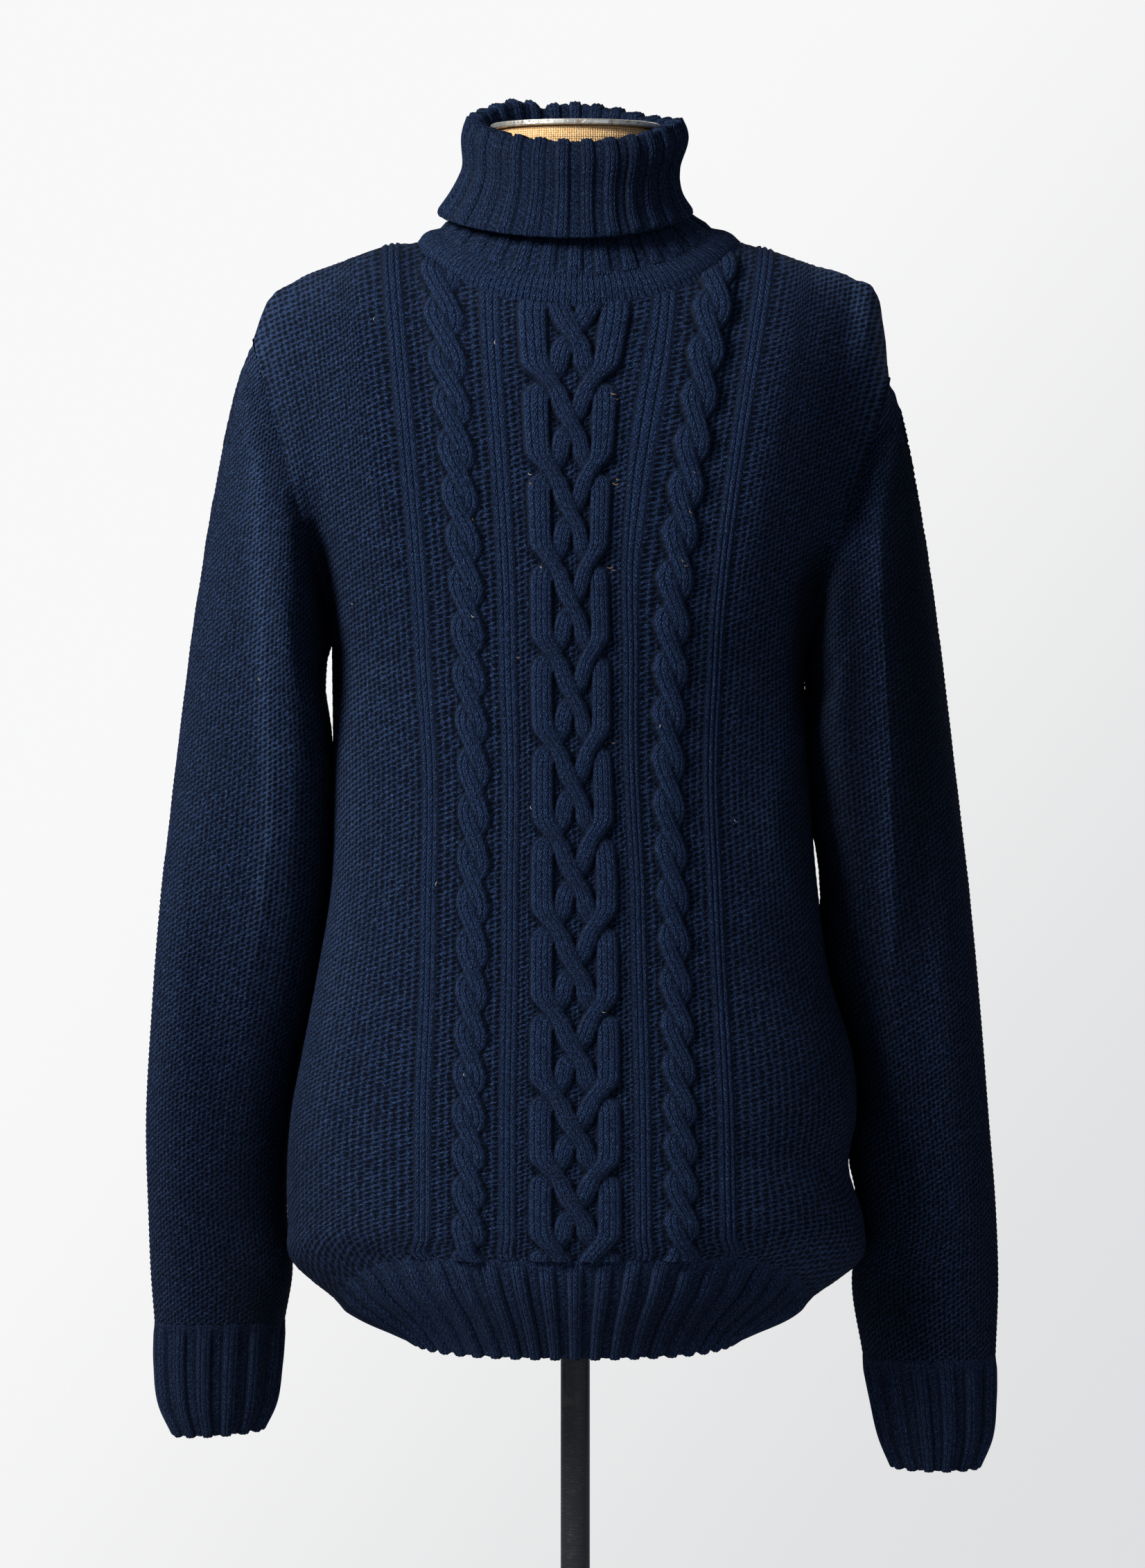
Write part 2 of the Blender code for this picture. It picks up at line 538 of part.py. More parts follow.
def add_sweater():
    """All the pieces of the sweater."""
    front = body_grid(FRONT_COLUMNS, -1)
    back = body_grid(BACK_COLUMNS, 1)
    pieces = {
        "front_body": Piece(front, False, "body"),
        "back_body": Piece(back, False, "body"),
        "front_hem_rib": Piece(hem_grid(FRONT_COLUMNS, -1), False, "hem"),
        "back_hem_rib": Piece(hem_grid(BACK_COLUMNS, 1), False, "hem"),
    }
    for name, side, sleeve, cuff in (("left", -1, LEFT_SLEEVE, LEFT_CUFF),
                                     ("right", 1, RIGHT_SLEEVE, RIGHT_CUFF)):
        rings = [armhole_ring(front, back, side)] + [sleeve_ring(row, side) for row in sleeve]
        rings += [sleeve_ring(row, side) for row in cuff]
        tube = facing_out(np.array(rings))
        pieces["sleeve_" + name] = Piece(tube[:-len(cuff)], True, "sleeve")
        pieces["cuff_" + name] = Piece(tube[-len(cuff) - 1:], True, "cuff")
    front_tops = neckline_tops(FRONT_COLUMNS)
    back_tops = neckline_tops(BACK_COLUMNS)[::-1]
    neck = np.array([neck_ring(row, front_tops, back_tops) for row in NECK_RINGS])
    pieces["neckband"] = Piece(neck[:NECKBAND_TOP + 1], True, "neckband")
    pieces["collar"] = Piece(neck[NECKBAND_TOP:], True, "collar")

    normals = shared_normals(pieces)
    heights = np.array([height for _, _, height, _ in both_halves(FRONT_COLUMNS, -1)])
    relief = np.tile(heights, (len(front), 1))
    relief[[0, -1]] = 0.0
    for name, piece in pieces.items():
        add_cloth(name, piece, normals, relief if name == "front_body" else None)


def build():
    """The whole part in a collection of its own."""
    for old in list(bpy.data.objects):
        bpy.data.objects.remove(old, do_unlink=True)
    collection = bpy.data.collections.new("sweater_on_dress_form")
    bpy.context.scene.collection.children.link(collection)
    add_stand()
    add_form()
    add_sweater()


build()
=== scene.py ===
# %% [markdown]
# # A cable knit turtleneck on its dress form
# This script dresses a finished model. The solids were built elsewhere, and here
# they are loaded as a fixed frame. Hard parts keep their solids and get their finishes. Each
# piece of the sweater is made again as a fine sheet with its cables, ribs and stitches.
# Everything is in metres, with the floor at z = 0 and the front of the sweater facing -Y.

# %% Load the frame
import json
import math
from collections import namedtuple
from functools import partial

import bpy
import mathutils
import numpy as np
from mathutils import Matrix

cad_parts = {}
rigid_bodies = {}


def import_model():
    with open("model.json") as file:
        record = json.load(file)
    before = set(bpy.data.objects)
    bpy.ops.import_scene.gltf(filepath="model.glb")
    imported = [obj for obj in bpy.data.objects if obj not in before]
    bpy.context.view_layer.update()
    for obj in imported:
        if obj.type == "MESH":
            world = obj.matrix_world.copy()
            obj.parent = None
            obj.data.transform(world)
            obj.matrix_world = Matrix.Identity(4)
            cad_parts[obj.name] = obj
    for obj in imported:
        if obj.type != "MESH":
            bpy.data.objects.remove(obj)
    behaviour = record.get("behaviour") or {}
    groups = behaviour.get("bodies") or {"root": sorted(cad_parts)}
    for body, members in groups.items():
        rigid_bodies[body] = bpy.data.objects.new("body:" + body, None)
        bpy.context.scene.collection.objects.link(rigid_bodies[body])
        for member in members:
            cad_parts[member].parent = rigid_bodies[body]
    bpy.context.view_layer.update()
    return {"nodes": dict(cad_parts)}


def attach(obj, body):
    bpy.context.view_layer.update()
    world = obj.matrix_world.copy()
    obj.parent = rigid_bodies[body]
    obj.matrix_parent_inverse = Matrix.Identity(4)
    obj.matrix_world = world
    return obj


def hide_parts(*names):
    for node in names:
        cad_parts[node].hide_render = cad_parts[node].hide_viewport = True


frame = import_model()
nodes = frame["nodes"]
print("frame:", ", ".join(sorted(nodes)))

# %% [markdown]
# ## Camera
# A long lens from far away keeps the sides of the sweater nearly parallel, as a shop shows its
# goods. The view is taller than it is wide, so the sensor is fitted by its height. The camera
# stands a little above the chest and looks down by about one degree.

# %% Place the camera
LOOK_DOWN = 1.09           # degrees
camera_data = bpy.data.cameras.new("camera")
camera_data.sensor_fit = "VERTICAL"
camera_data.sensor_height = 36.0
camera_data.sensor_width = 36.0
camera_data.lens = 159.0
camera = bpy.data.objects.new("camera", camera_data)
camera.location = (-0.0018, -4.5, 0.747)
camera.rotation_euler = (math.radians(90 - LOOK_DOWN), 0.0, 0.0)
bpy.context.scene.collection.objects.link(camera)
bpy.context.scene.camera = camera
print("camera at", tuple(camera.location))

# %% [markdown]
# ## Floor
# The stand needs a pale floor under it, but a wide floor would show a horizon behind the pole.
# A round floor that ends close behind the base stays under the camera's view.

# %% Lay a round floor
def new_material(name, values):
    """A material with plain values for its shader: itself, its tree and its shader."""
    made = bpy.data.materials.new(name)
    made.use_nodes = True
    skin = made.node_tree.nodes["Principled BSDF"]
    for label, value in values.items():
        skin.inputs[label].default_value = value
    return made, made.node_tree, skin


FLOOR_RADIUS = 0.75
FLOOR_CORNERS = 96
FLOOR_DROP = 0.0004        # keeps the floor's face off the underside of the base
floor_mesh = bpy.data.meshes.new("floor")
turns = np.linspace(0, 2 * math.pi, FLOOR_CORNERS, endpoint=False)
floor_mesh.from_pydata([(FLOOR_RADIUS * math.cos(t), FLOOR_RADIUS * math.sin(t), -FLOOR_DROP)
                        for t in turns], [], [tuple(range(FLOOR_CORNERS))])
floor = bpy.data.objects.new("floor", floor_mesh)
bpy.context.scene.collection.objects.link(floor)
floor_paint = {"Base Color": (0.80, 0.80, 0.81, 1), "Roughness": 0.6}
floor_mesh.materials.append(new_material("floor_paint", floor_paint)[0])
print(f"floor: {2 * FLOOR_RADIUS} m across")

# %% [markdown]
# ## Helpers for nodes
# Most finishes here are drawn by nodes, and a tree written out node by node hides its idea
# among links. Each helper adds one node, links what goes in and hands back what comes out, so
# that a height or a mask reads like a sum.

# %% Make helpers for nodes
def group_of(name, inputs, outputs):
    """A new shader node group with named sockets, its input and output nodes."""
    made = bpy.data.node_groups.new(name, "ShaderNodeTree")
    for label, kind, value in inputs:
        socket = made.interface.new_socket(name=label, in_out="INPUT", socket_type=kind)
        if value is not None:
            socket.default_value = value
    for label, kind in outputs:
        made.interface.new_socket(name=label, in_out="OUTPUT", socket_type=kind)
    return made, made.nodes.new("NodeGroupInput"), made.nodes.new("NodeGroupOutput")


def link(tree, value, socket):
    """Sets a socket, or links it when the value is another node's socket."""
    if isinstance(value, bpy.types.NodeSocket):
        tree.links.new(value, socket)
    else:
        socket.default_value = value


def math_node(tree, operation, *values, clamp=False):
    """The output of a Math node on numbers or sockets."""
    node = tree.nodes.new("ShaderNodeMath")
    node.operation = operation
    node.use_clamp = clamp
    for socket, value in zip(node.inputs, values):
        link(tree, value, socket)
    return node.outputs[0]


def mix_numbers(tree, factor, a, b):
    """a where factor is 0, b where it is 1."""
    node = tree.nodes.new("ShaderNodeMix")
    node.data_type = "FLOAT"
    for socket, value in zip((node.inputs[0], node.inputs[2], node.inputs[3]), (factor, a, b)):
        link(tree, value, socket)
    return node.outputs[0]


def mix_colors(tree, factor, a, b):
    """A colour between a and b."""
    node = tree.nodes.new("ShaderNodeMix")
    node.data_type = "RGBA"
    for socket, value in zip((node.inputs[0], node.inputs[6], node.inputs[7]), (factor, a, b)):
        link(tree, value, socket)
    return node.outputs[2]


def noise(tree, vector, scale, detail=2.0, roughness=0.5):
    """A noise texture's value."""
    node = tree.nodes.new("ShaderNodeTexNoise")
    link(tree, vector, node.inputs["Vector"])
    link(tree, scale, node.inputs["Scale"])
    node.inputs["Detail"].default_value = detail
    node.inputs["Roughness"].default_value = roughness
    return node.outputs["Fac"]


def between(tree, value, low, high, smooth=False):
    """0 where a value is at low, 1 where it is at high."""
    node = tree.nodes.new("ShaderNodeMapRange")
    node.interpolation_type = "SMOOTHERSTEP" if smooth else "LINEAR"
    node.inputs["From Min"].default_value = low
    node.inputs["From Max"].default_value = high
    tree.links.new(value, node.inputs["Value"])
    return node.outputs[0]


def place_group(tree, group, **values):
    """A group's node in a material's tree, with values for its inputs."""
    placed = tree.nodes.new("ShaderNodeGroup")
    placed.node_tree = group
    for label, value in values.items():
        placed.inputs[label].default_value = value
    return placed


def raise_bump(tree, height, distance, skin):
    """A Bump node from a height to a shader's normal."""
    bump = tree.nodes.new("ShaderNodeBump")
    bump.inputs["Distance"].default_value = distance
    tree.links.new(height, bump.inputs["Height"])
    tree.links.new(bump.outputs[0], skin.inputs["Normal"])


print("helpers:", ", ".join(helper.__name__ for helper in (
    group_of, link, math_node, mix_numbers, mix_colors, noise, between, place_group,
    raise_bump)))

# %% [markdown]
# ## Surroundings
# Rays from the camera see plain paper behind the stand, while all other rays see a dimmer
# world, so the background can be bright without washing out the shadows in the folds of the
# wool. The paper is a little dimmer low down on the right, away from the lamp.

# %% Make the world bright for the camera and dim for the light
world = bpy.data.worlds.new("studio")
world.use_nodes = True
bpy.context.scene.world = world
tree = world.node_tree
tree.nodes.clear()
PAPER, DIM_PAPER = (0.940, 0.940, 0.944, 1), (0.735, 0.740, 0.750, 1)
LOW_RIGHT = (0.80, 0.0, -0.60)     # the way in which the paper grows dimmer
slant = tree.nodes.new("ShaderNodeVectorMath")
slant.operation = "DOT_PRODUCT"
slant.inputs[1].default_value = LOW_RIGHT
tree.links.new(tree.nodes.new("ShaderNodeTexCoord").outputs["Generated"], slant.inputs[0])
dimming = between(tree, slant.outputs["Value"], -0.06, 0.16, smooth=True)
paper = mix_colors(tree, dimming, PAPER, DIM_PAPER)
seen = tree.nodes.new("ShaderNodeBackground")
tree.links.new(paper, seen.inputs["Color"])
ambient = tree.nodes.new("ShaderNodeBackground")
ambient.inputs["Color"].default_value = (0.80, 0.88, 1.0, 1)
ambient.inputs["Strength"].default_value = 0.20
path = tree.nodes.new("ShaderNodeLightPath")
mix = tree.nodes.new("ShaderNodeMixShader")
out = tree.nodes.new("ShaderNodeOutputWorld")
tree.links.new(path.outputs["Is Camera Ray"], mix.inputs["Fac"])
tree.links.new(ambient.outputs[0], mix.inputs[1])
tree.links.new(seen.outputs[0], mix.inputs[2])
tree.links.new(mix.outputs[0], out.inputs["Surface"])
bpy.context.scene.view_settings.view_transform = "Standard"
print("world ambient", ambient.inputs["Strength"].default_value)

# %% [markdown]
# ## Light
# One large soft lamp on the left lights the wool at a low angle, so that every cable throws a
# soft shadow to its right. A weak lamp from the front keeps those shadows from closing up.
# Another stands behind, so that the back can be looked at too.

# %% Hang the lamps
def add_lamp(name, location, target, size, power, color):
    """A square area lamp that looks at a target."""
    data = bpy.data.lights.new(name, "AREA")
    data.size = size
    data.energy = power
    data.color = color
    lamp = bpy.data.objects.new(name, data)
    lamp.location = location
    direction = np.array(target, float) - np.array(location, float)
    flat = math.hypot(direction[0], direction[1])
    lamp.rotation_euler = (math.atan2(flat, -direction[2]), 0.0,
                           math.atan2(direction[1], direction[0]) - math.pi / 2)
    bpy.context.scene.collection.objects.link(lamp)
    return lamp


key = add_lamp("key", (-1.75, -1.55, 2.15), (0, 0, 0.65), 1.0, 108, (1.0, 0.99, 0.97))
fill = add_lamp("fill", (1.6, -3.2, 1.2), (0, 0, 0.65), 2.0, 8, (0.93, 0.96, 1.0))
rear = add_lamp("rear", (0.9, 3.4, 1.9), (0, 0, 0.65), 2.4, 30, (1.0, 0.99, 0.97))
print("lamps:", ", ".join(f"{lamp.name} {lamp.data.energy:.0f} W" for lamp in (key, fill, rear)))

# %% [markdown]
# ## The sweater's sizes
# The sweater hangs in big smooth forms, so its shape is kept in short tables: rings for the
# body, the neck and the sleeves, and columns for the front and back. They are the same as in
# the solids, so that the fine sheets lie where the solids are. Left is the wearer's right, as
# the sweater is seen from the front, and x is negative there.

# %% Sizes of the body
# Rings from the hem up to the underarm. z is the height in the middle of the front and back,
# left_z and right_z at the side seams. The next four are distances from the axis. spread is
# how far the cable bands stand apart there, against the flat cloth.
BodyRing = namedtuple("BodyRing", "name z left_z right_z left right front back spread")
BODY_RINGS = [BodyRing(*row) for row in (
    ("hem edge",  0.3000, 0.3030, 0.3030, 0.1050, 0.1030, 0.1150, 0.1080, 0.00),
    ("rib lower", 0.3190, 0.3080, 0.3080, 0.1180, 0.1160, 0.1225, 0.1150, 0.00),
    ("rib upper", 0.3410, 0.3165, 0.3170, 0.1390, 0.1380, 0.1285, 0.1205, 0.00),
    ("rib top",   0.3630, 0.3285, 0.3295, 0.1575, 0.1555, 0.1320, 0.1240, 1.03),
    ("roll",      0.3770, 0.3500, 0.3500, 0.1825, 0.1830, 0.1350, 0.1265, 1.04),
    ("belly",     0.3980, 0.3780, 0.3760, 0.1865, 0.1875, 0.1360, 0.1275, 1.04),
    ("tuck",      0.4230, 0.4120, 0.4120, 0.1870, 0.1775, 0.1350, 0.1260, 1.04),
    ("over tuck", 0.4520, 0.4470, 0.4470, 0.1845, 0.1825, 0.1325, 0.1230, 1.04),
    ("hip",       0.4880, 0.4850, 0.4850, 0.1775, 0.1800, 0.1285, 0.1180, 1.03),
    ("waist low", 0.5350, 0.5350, 0.5350, 0.1680, 0.1655, 0.1240, 0.1110, 1.01),
    ("waist",     0.5950, 0.5950, 0.5950, 0.1585, 0.1570, 0.1200, 0.1040, 1.00),
    ("ribcage",   0.6650, 0.6680, 0.6600, 0.1570, 0.1520, 0.1190, 0.1040, 0.99),
    ("underarm",  0.7420, 0.7500, 0.7300, 0.1580, 0.1485, 0.1195, 0.1080, 1.04),
)]
RIB_TOP = 3                # index of the ring where the hem rib meets the body
print("rings of the body:", ", ".join(ring.name for ring in BODY_RINGS))

# %% Sizes of the shoulders and the yoke
# Columns from the middle to the side. flat is the distance from the middle line on the flat
# cloth. top says where the column ends: 0 to 1 along half the neckline, 1 to 2 along the
# shoulder seam.
Column = namedtuple("Column", "name flat top")
FRONT_COLUMNS = [Column(*column) for column in (
    ("middle", 0.0000, 0.00), ("braid strand", 0.0145, 0.19), ("braid edge", 0.0255, 0.33),
    ("braid foot", 0.0300, 0.39), ("inner rib", 0.0414, 0.54), ("rope foot", 0.0530, 0.69),
    ("rope inner", 0.0580, 0.76), ("rope outer", 0.0710, 0.93), ("neck point", 0.0765, 1.00),
    ("rib ground", 0.0845, 1.10), ("outer rib", 0.0930, 1.22), ("side ground", 0.1015, 1.34))]
# Columns between the side ground and the side seam, as shares of that stretch.
SideColumn = namedtuple("SideColumn", "share top")
SIDE_COLUMNS = [SideColumn(0.36, 1.55), SideColumn(0.66, 1.75),
                SideColumn(0.87, 1.90), SideColumn(1.00, 2.00)]

# The shoulder seam, from the neck point to the top of the armhole.
ShoulderPoint = namedtuple("ShoulderPoint", "top left left_z right right_z")
SHOULDER = [ShoulderPoint(*row) for row in (
    (1.00, 0.1020, 1.0130, 0.1070, 1.0130),
    (1.34, 0.1300, 1.0085, 0.1330, 1.0055),
    (1.55, 0.1550, 0.9990, 0.1550, 0.9980),
    (1.75, 0.1805, 0.9885, 0.1790, 0.9900),
    (1.90, 0.2000, 0.9740, 0.1975, 0.9740),
    (2.00, 0.2085, 0.9510, 0.2036, 0.9260),
)]

# How a column of the yoke leaves the underarm ring and how it reaches its top: out is away
# from the middle, low_forward is towards the panel's own face, high_depth is how far the
# column still stands from the axis just under its top.
YokeHandle = namedtuple(
    "YokeHandle", "top low_out low_forward low_up high_out high_depth high_down")
YOKE_HANDLES = [YokeHandle(*row) for row in (
    (0.00,  0.000, 0.002, 0.095,  0.000, 0.106, 0.052),
    (0.50,  0.000, 0.004, 0.095,  0.000, 0.105, 0.046),
    (1.00,  0.002, 0.012, 0.092,  0.000, 0.098, 0.020),
    (1.50,  0.002, 0.030, 0.082,  0.002, 0.090, 0.008),
    (2.00, -0.005, 0.060, 0.018, -0.012, 0.062, 0.052),
)]
print("columns of the front:", ", ".join(column.name for column in FRONT_COLUMNS))

# %% Sizes of the neck
# Rings from the neckline seam up inside the fold, over the rim and down the turnover. The
# heights are in the middle of the front, at the sides and behind.
NeckRing = namedtuple("NeckRing", "name left right front back front_z side_z back_z")
NECK_RINGS = [NeckRing(*row) for row in (
    ("neckline",       0.1020, 0.1070, 0.0880, 0.0620, 0.9670, 1.0130, 1.0070),
    ("neckband rise",  0.0960, 0.0990, 0.0850, 0.0610, 0.9765, 1.0180, 1.0140),
    ("neckband top",   0.0870, 0.0880, 0.0810, 0.0605, 0.9870, 1.0220, 1.0220),
    ("stand flare",    0.0750, 0.0750, 0.0740, 0.0600, 1.0040, 1.0305, 1.0350),
    ("stand waist",    0.0660, 0.0655, 0.0665, 0.0610, 1.0230, 1.0440, 1.0520),
    ("stand",          0.0620, 0.0610, 0.0630, 0.0620, 1.0430, 1.0620, 1.0750),
    ("inner rim",      0.0630, 0.0620, 0.0635, 0.0630, 1.0620, 1.0825, 1.0965),
    ("rim",            0.0675, 0.0665, 0.0685, 0.0680, 1.0720, 1.0910, 1.1075),
    ("outer rim",      0.0715, 0.0710, 0.0730, 0.0730, 1.0650, 1.0850, 1.1015),
    ("turnover",       0.0725, 0.0660, 0.0755, 0.0755, 1.0420, 1.0610, 1.0780),
    ("turnover flare", 0.0795, 0.0672, 0.0785, 0.0780, 1.0240, 1.0430, 1.0570),
    ("turnover edge",  0.0875, 0.0745, 0.0815, 0.0800, 1.0105, 1.0300, 1.0420),
)]
NECKBAND_TOP = 2           # index of the ring where the neckband meets the collar
print("rings of the neck:", ", ".join(ring.name for ring in NECK_RINGS))

# %% Sizes of the sleeves and cuffs
# The outer point of a ring is furthest from the body, the inner point nearest to it. front and
# back are how far the ring reaches from the side seam's plane. An edge over 1 sharpens the
# ring in front and behind. These are the same on both sides. The places of the outer and the
# inner point come after them, first on the left and then on the right.
SleeveRing = namedtuple("SleeveRing", "name front back edge outer outer_z inner inner_z")
ARM = (
    ("cap", 0.054, 0.054, 1.05,
     (0.2178, 0.926, 0.1635, 0.722), (0.2112, 0.904, 0.1535, 0.703)),
    ("upper arm", 0.06, 0.061, 1.15,
     (0.2265, 0.891, 0.1625, 0.696), (0.2188, 0.87, 0.154, 0.678)),
    ("biceps", 0.059, 0.069, 1.2,
     (0.2378, 0.8311, 0.1612, 0.6639), (0.2283, 0.8151, 0.1557, 0.6499)),
    ("low biceps", 0.053, 0.074, 1.2,
     (0.2488, 0.762, 0.1609, 0.6297), (0.2381, 0.746, 0.1584, 0.6177)),
    ("over elbow", 0.044, 0.078, 1.15,
     (0.2592, 0.6818, 0.1626, 0.5894), (0.2469, 0.6747, 0.1606, 0.5844)),
    ("elbow", 0.032, 0.083, 1.05,
     (0.2695, 0.5972, 0.1684, 0.5439), (0.2569, 0.5941, 0.1659, 0.5439)),
    ("forearm", 0.022, 0.085, 1.0,
     (0.2764, 0.5114, 0.1777, 0.4902), (0.2653, 0.5073, 0.1792, 0.4902)),
    ("mid forearm", 0.015, 0.083, 1.0,
     (0.2801, 0.4407, 0.1869, 0.4357), (0.2705, 0.4427, 0.1839, 0.4377)),
    ("low forearm", 0.01, 0.079, 1.0,
     (0.2786, 0.3802, 0.1889, 0.3792), (0.2751, 0.3852, 0.1899, 0.3832)),
    ("wrist", 0.008, 0.077, 1.0,
     (0.2771, 0.3419, 0.1854, 0.3419), (0.2769, 0.3369, 0.1814, 0.3369)),
    ("cuff top", 0.008, 0.072, 1.0,
     (0.2747, 0.3109, 0.1903, 0.3104), (0.2751, 0.2868, 0.1885, 0.2868)),
    ("cuff middle", 0.008, 0.068, 1.0,
     (0.2746, 0.2819, 0.1928, 0.2819), (0.2748, 0.2588, 0.1938, 0.2588)),
    ("cuff low", 0.006, 0.063, 1.0,
     (0.2709, 0.2529, 0.1972, 0.2539), (0.2717, 0.2308, 0.2003, 0.2313)),
    ("cuff edge", 0.002, 0.057, 1.0,
     (0.2631, 0.2364, 0.2042, 0.2394), (0.2646, 0.2143, 0.2073, 0.2148)),
)
ARMS = {-1: [SleeveRing(*shared, *left) for *shared, left, _ in ARM],
        1: [SleeveRing(*shared, *right) for *shared, _, right in ARM]}
SIDES = (("left", -1), ("right", 1))
CUFF_TOP = 10              # index of the ring where the cuff meets the sleeve
print("rings of a sleeve:", ", ".join(ring.name for ring in ARMS[1]))

# %% [markdown]
# ## Curves through a few sizes
# A few rings could be rounded off by a Subdivision Surface modifier, but it pulls the cloth
# away from them. Here a cubic curve runs through each column of a table instead, and the fine
# sheets read it as densely as their stitches need.

# %% Read tables smoothly
def through(stations, values, at):
    """A smooth curve through the values at the stations, read at other stations."""
    stations, values = np.asarray(stations, float), np.asarray(values, float)
    at = np.clip(np.asarray(at, float), stations[0], stations[-1])
    slopes = np.gradient(values, stations, axis=0)
    k = np.clip(np.searchsorted(stations, at, side="right") - 1, 0, len(stations) - 2)
    shape = at.shape + (1,) * (values.ndim - 1)
    step = np.reshape(stations[k + 1] - stations[k], shape)
    t = np.reshape(at - stations[k], shape) / step
    return ((2 * t**3 - 3 * t**2 + 1) * values[k] + (t**3 - 2 * t**2 + t) * step * slopes[k]
            + (3 * t**2 - 2 * t**3) * values[k + 1] + (t**3 - t**2) * step * slopes[k + 1])


def read(table, key, column, at):
    """One column of a table, read smoothly along its key column."""
    return through([getattr(row, key) for row in table],
                   [getattr(row, column) for row in table], at)


def smooth_step(low, high, at):
    """0 below low, 1 above high, and an even S between."""
    t = np.clip((np.asarray(at, float) - low) / (high - low), 0.0, 1.0)
    return t * t * (3 - 2 * t)


def lengths_along(line):
    """How far along a line of points each one lies."""
    return np.concatenate([[0], np.cumsum(np.linalg.norm(np.diff(line, axis=0), axis=1))])


def along_rings(rings, count):
    """Dense curves through the rings' points, one for each column."""
    rings = np.array(rings)
    steps = np.linalg.norm(np.diff(rings, axis=0), axis=2).mean(axis=1)
    stations = np.concatenate([[0], np.cumsum(steps)])
    return through(stations, rings, np.linspace(0, stations[-1], count))


print(f"belly: {1000 * read(BODY_RINGS, 'z', 'front', 0.39):.1f} mm from the axis")

# %% [markdown]
# ## The surface of the body
# A point of the front or back is named by two numbers that a knitter would use: how far it is
# from the middle line on the flat cloth, and how many rows of stitches it is above the rib.
# Below the underarm the cloth follows the rings. Above it every column of stitches is a
# Bezier curve from the underarm ring to the neckline or the shoulder seam.

# %% Measure stitches
WALE = 0.0036              # the width of a stitch in the cables and ribs
SIDE_WALE = 0.0047         # and of a purl stitch at the sides, which lies looser
COURSE = 0.0036            # the height of a row of stitches
COURSE_AT_RIB = 0.00294    # rows lie closer where the body rolls over its rib
EVEN_Z = (0.36, 0.64)      # between these heights they grow to their full height
SIDE_START = FRONT_COLUMNS[-1].flat
SIDE_WIDTH = 0.118         # from the last cable band to the side seam, on the flat cloth
HALF_FLAT = SIDE_START + SIDE_WIDTH
UNDERARM_Z = BODY_RINGS[-1].z
RIB_TOP_Z = BODY_RINGS[RIB_TOP].z
SECTION_FULLNESS = 0.75    # under 1 squares the round of the body's sections
SEAM_DIP = 8               # the higher, the closer to the side seam a ring leaves its level

# How far the cable bands of the wearer's left lean in towards the middle, by height.
LEAN_Z = [0.38, 0.44, 0.53, 0.62, 0.70, 0.742]
LEAN = [0.00, 0.01, 0.025, 0.055, 0.080, 0.085]
COLUMN_STATIONS = [c.flat for c in FRONT_COLUMNS] + [SIDE_START + s.share * SIDE_WIDTH
                                                     for s in SIDE_COLUMNS]
COLUMN_TOPS = [c.top for c in FRONT_COLUMNS] + [s.top for s in SIDE_COLUMNS]
print(f"front: {2000 * HALF_FLAT:.0f} mm wide when flat")


# %% Find points of the body below the underarm
def either(row_table, key, name, at, across):
    """A table's left or right value for each column, by the sign of its place across."""
    left = read(row_table, key, name[0], at)[:, None]
    right = read(row_table, key, name[1], at)[:, None]
    return np.where(across[None, :] < 0, left, right)


def lower_body(across, z, depth):
    """Points of the columns at these places across, on the rings at heights z."""
    gather_z = np.maximum(z, RIB_TOP_Z)
    half = either(BODY_RINGS, "z", ("left", "right"), gather_z, across)
    spread = read(BODY_RINGS, "z", "spread", gather_z)[:, None]
    drawn_in = 1 - np.interp(gather_z, LEAN_Z, LEAN)[:, None]
    spread = np.where(across[None, :] > 0, spread * drawn_in, spread)
    flat = np.minimum(np.abs(across), SIDE_START)[None, :]
    last = np.arcsin(SIDE_START * spread / half)
    share = np.maximum(np.abs(across) - SIDE_START, 0.0)[None, :] / SIDE_WIDTH
    angle = np.where(share > 0, last + (math.pi / 2 - last) * share,
                     np.arcsin(flat * spread / half))
    half = either(BODY_RINGS, "z", ("left", "right"), z, across)
    seam_z = either(BODY_RINGS, "z", ("left_z", "right_z"), z, across)
    reach = read(BODY_RINGS, "z", "front" if depth < 0 else "back", z)[:, None]
    sine, cosine = np.sin(angle), np.maximum(np.cos(angle), 0.0)
    height = z[:, None] + (seam_z - z[:, None]) * sine**SEAM_DIP
    return np.stack([np.sign(across)[None, :] * half * sine,
                     depth * reach * cosine**SECTION_FULLNESS, height], axis=-1)


underarm = lower_body(np.array([-HALF_FLAT, HALF_FLAT]), np.array([UNDERARM_Z]), -1)[0]
print(f"underarm: {1000 * np.ptp(underarm[:, 0]):.0f} mm from seam to seam")

# %% Find points of the neck and the yoke
NECK_SLOPE = 1.3           # over 1 keeps the neck's rings level for longer at the sides


def neck_ring(row, turn):
    """Points of a neck ring. turn is 0 in the middle of the front and goes right round."""
    angle = np.abs((turn + math.pi) % (2 * math.pi) - math.pi)
    side = np.sin(turn)
    along = np.cos(angle)
    front = along >= 0
    half = np.where(side < 0, row.left, row.right)
    reach = np.where(front, -row.front, row.back)
    far_z = np.where(front, row.front_z, row.back_z)
    return np.stack([half * side, reach * np.abs(along),
                     row.side_z + (far_z - row.side_z) * np.abs(along)**NECK_SLOPE], axis=-1)


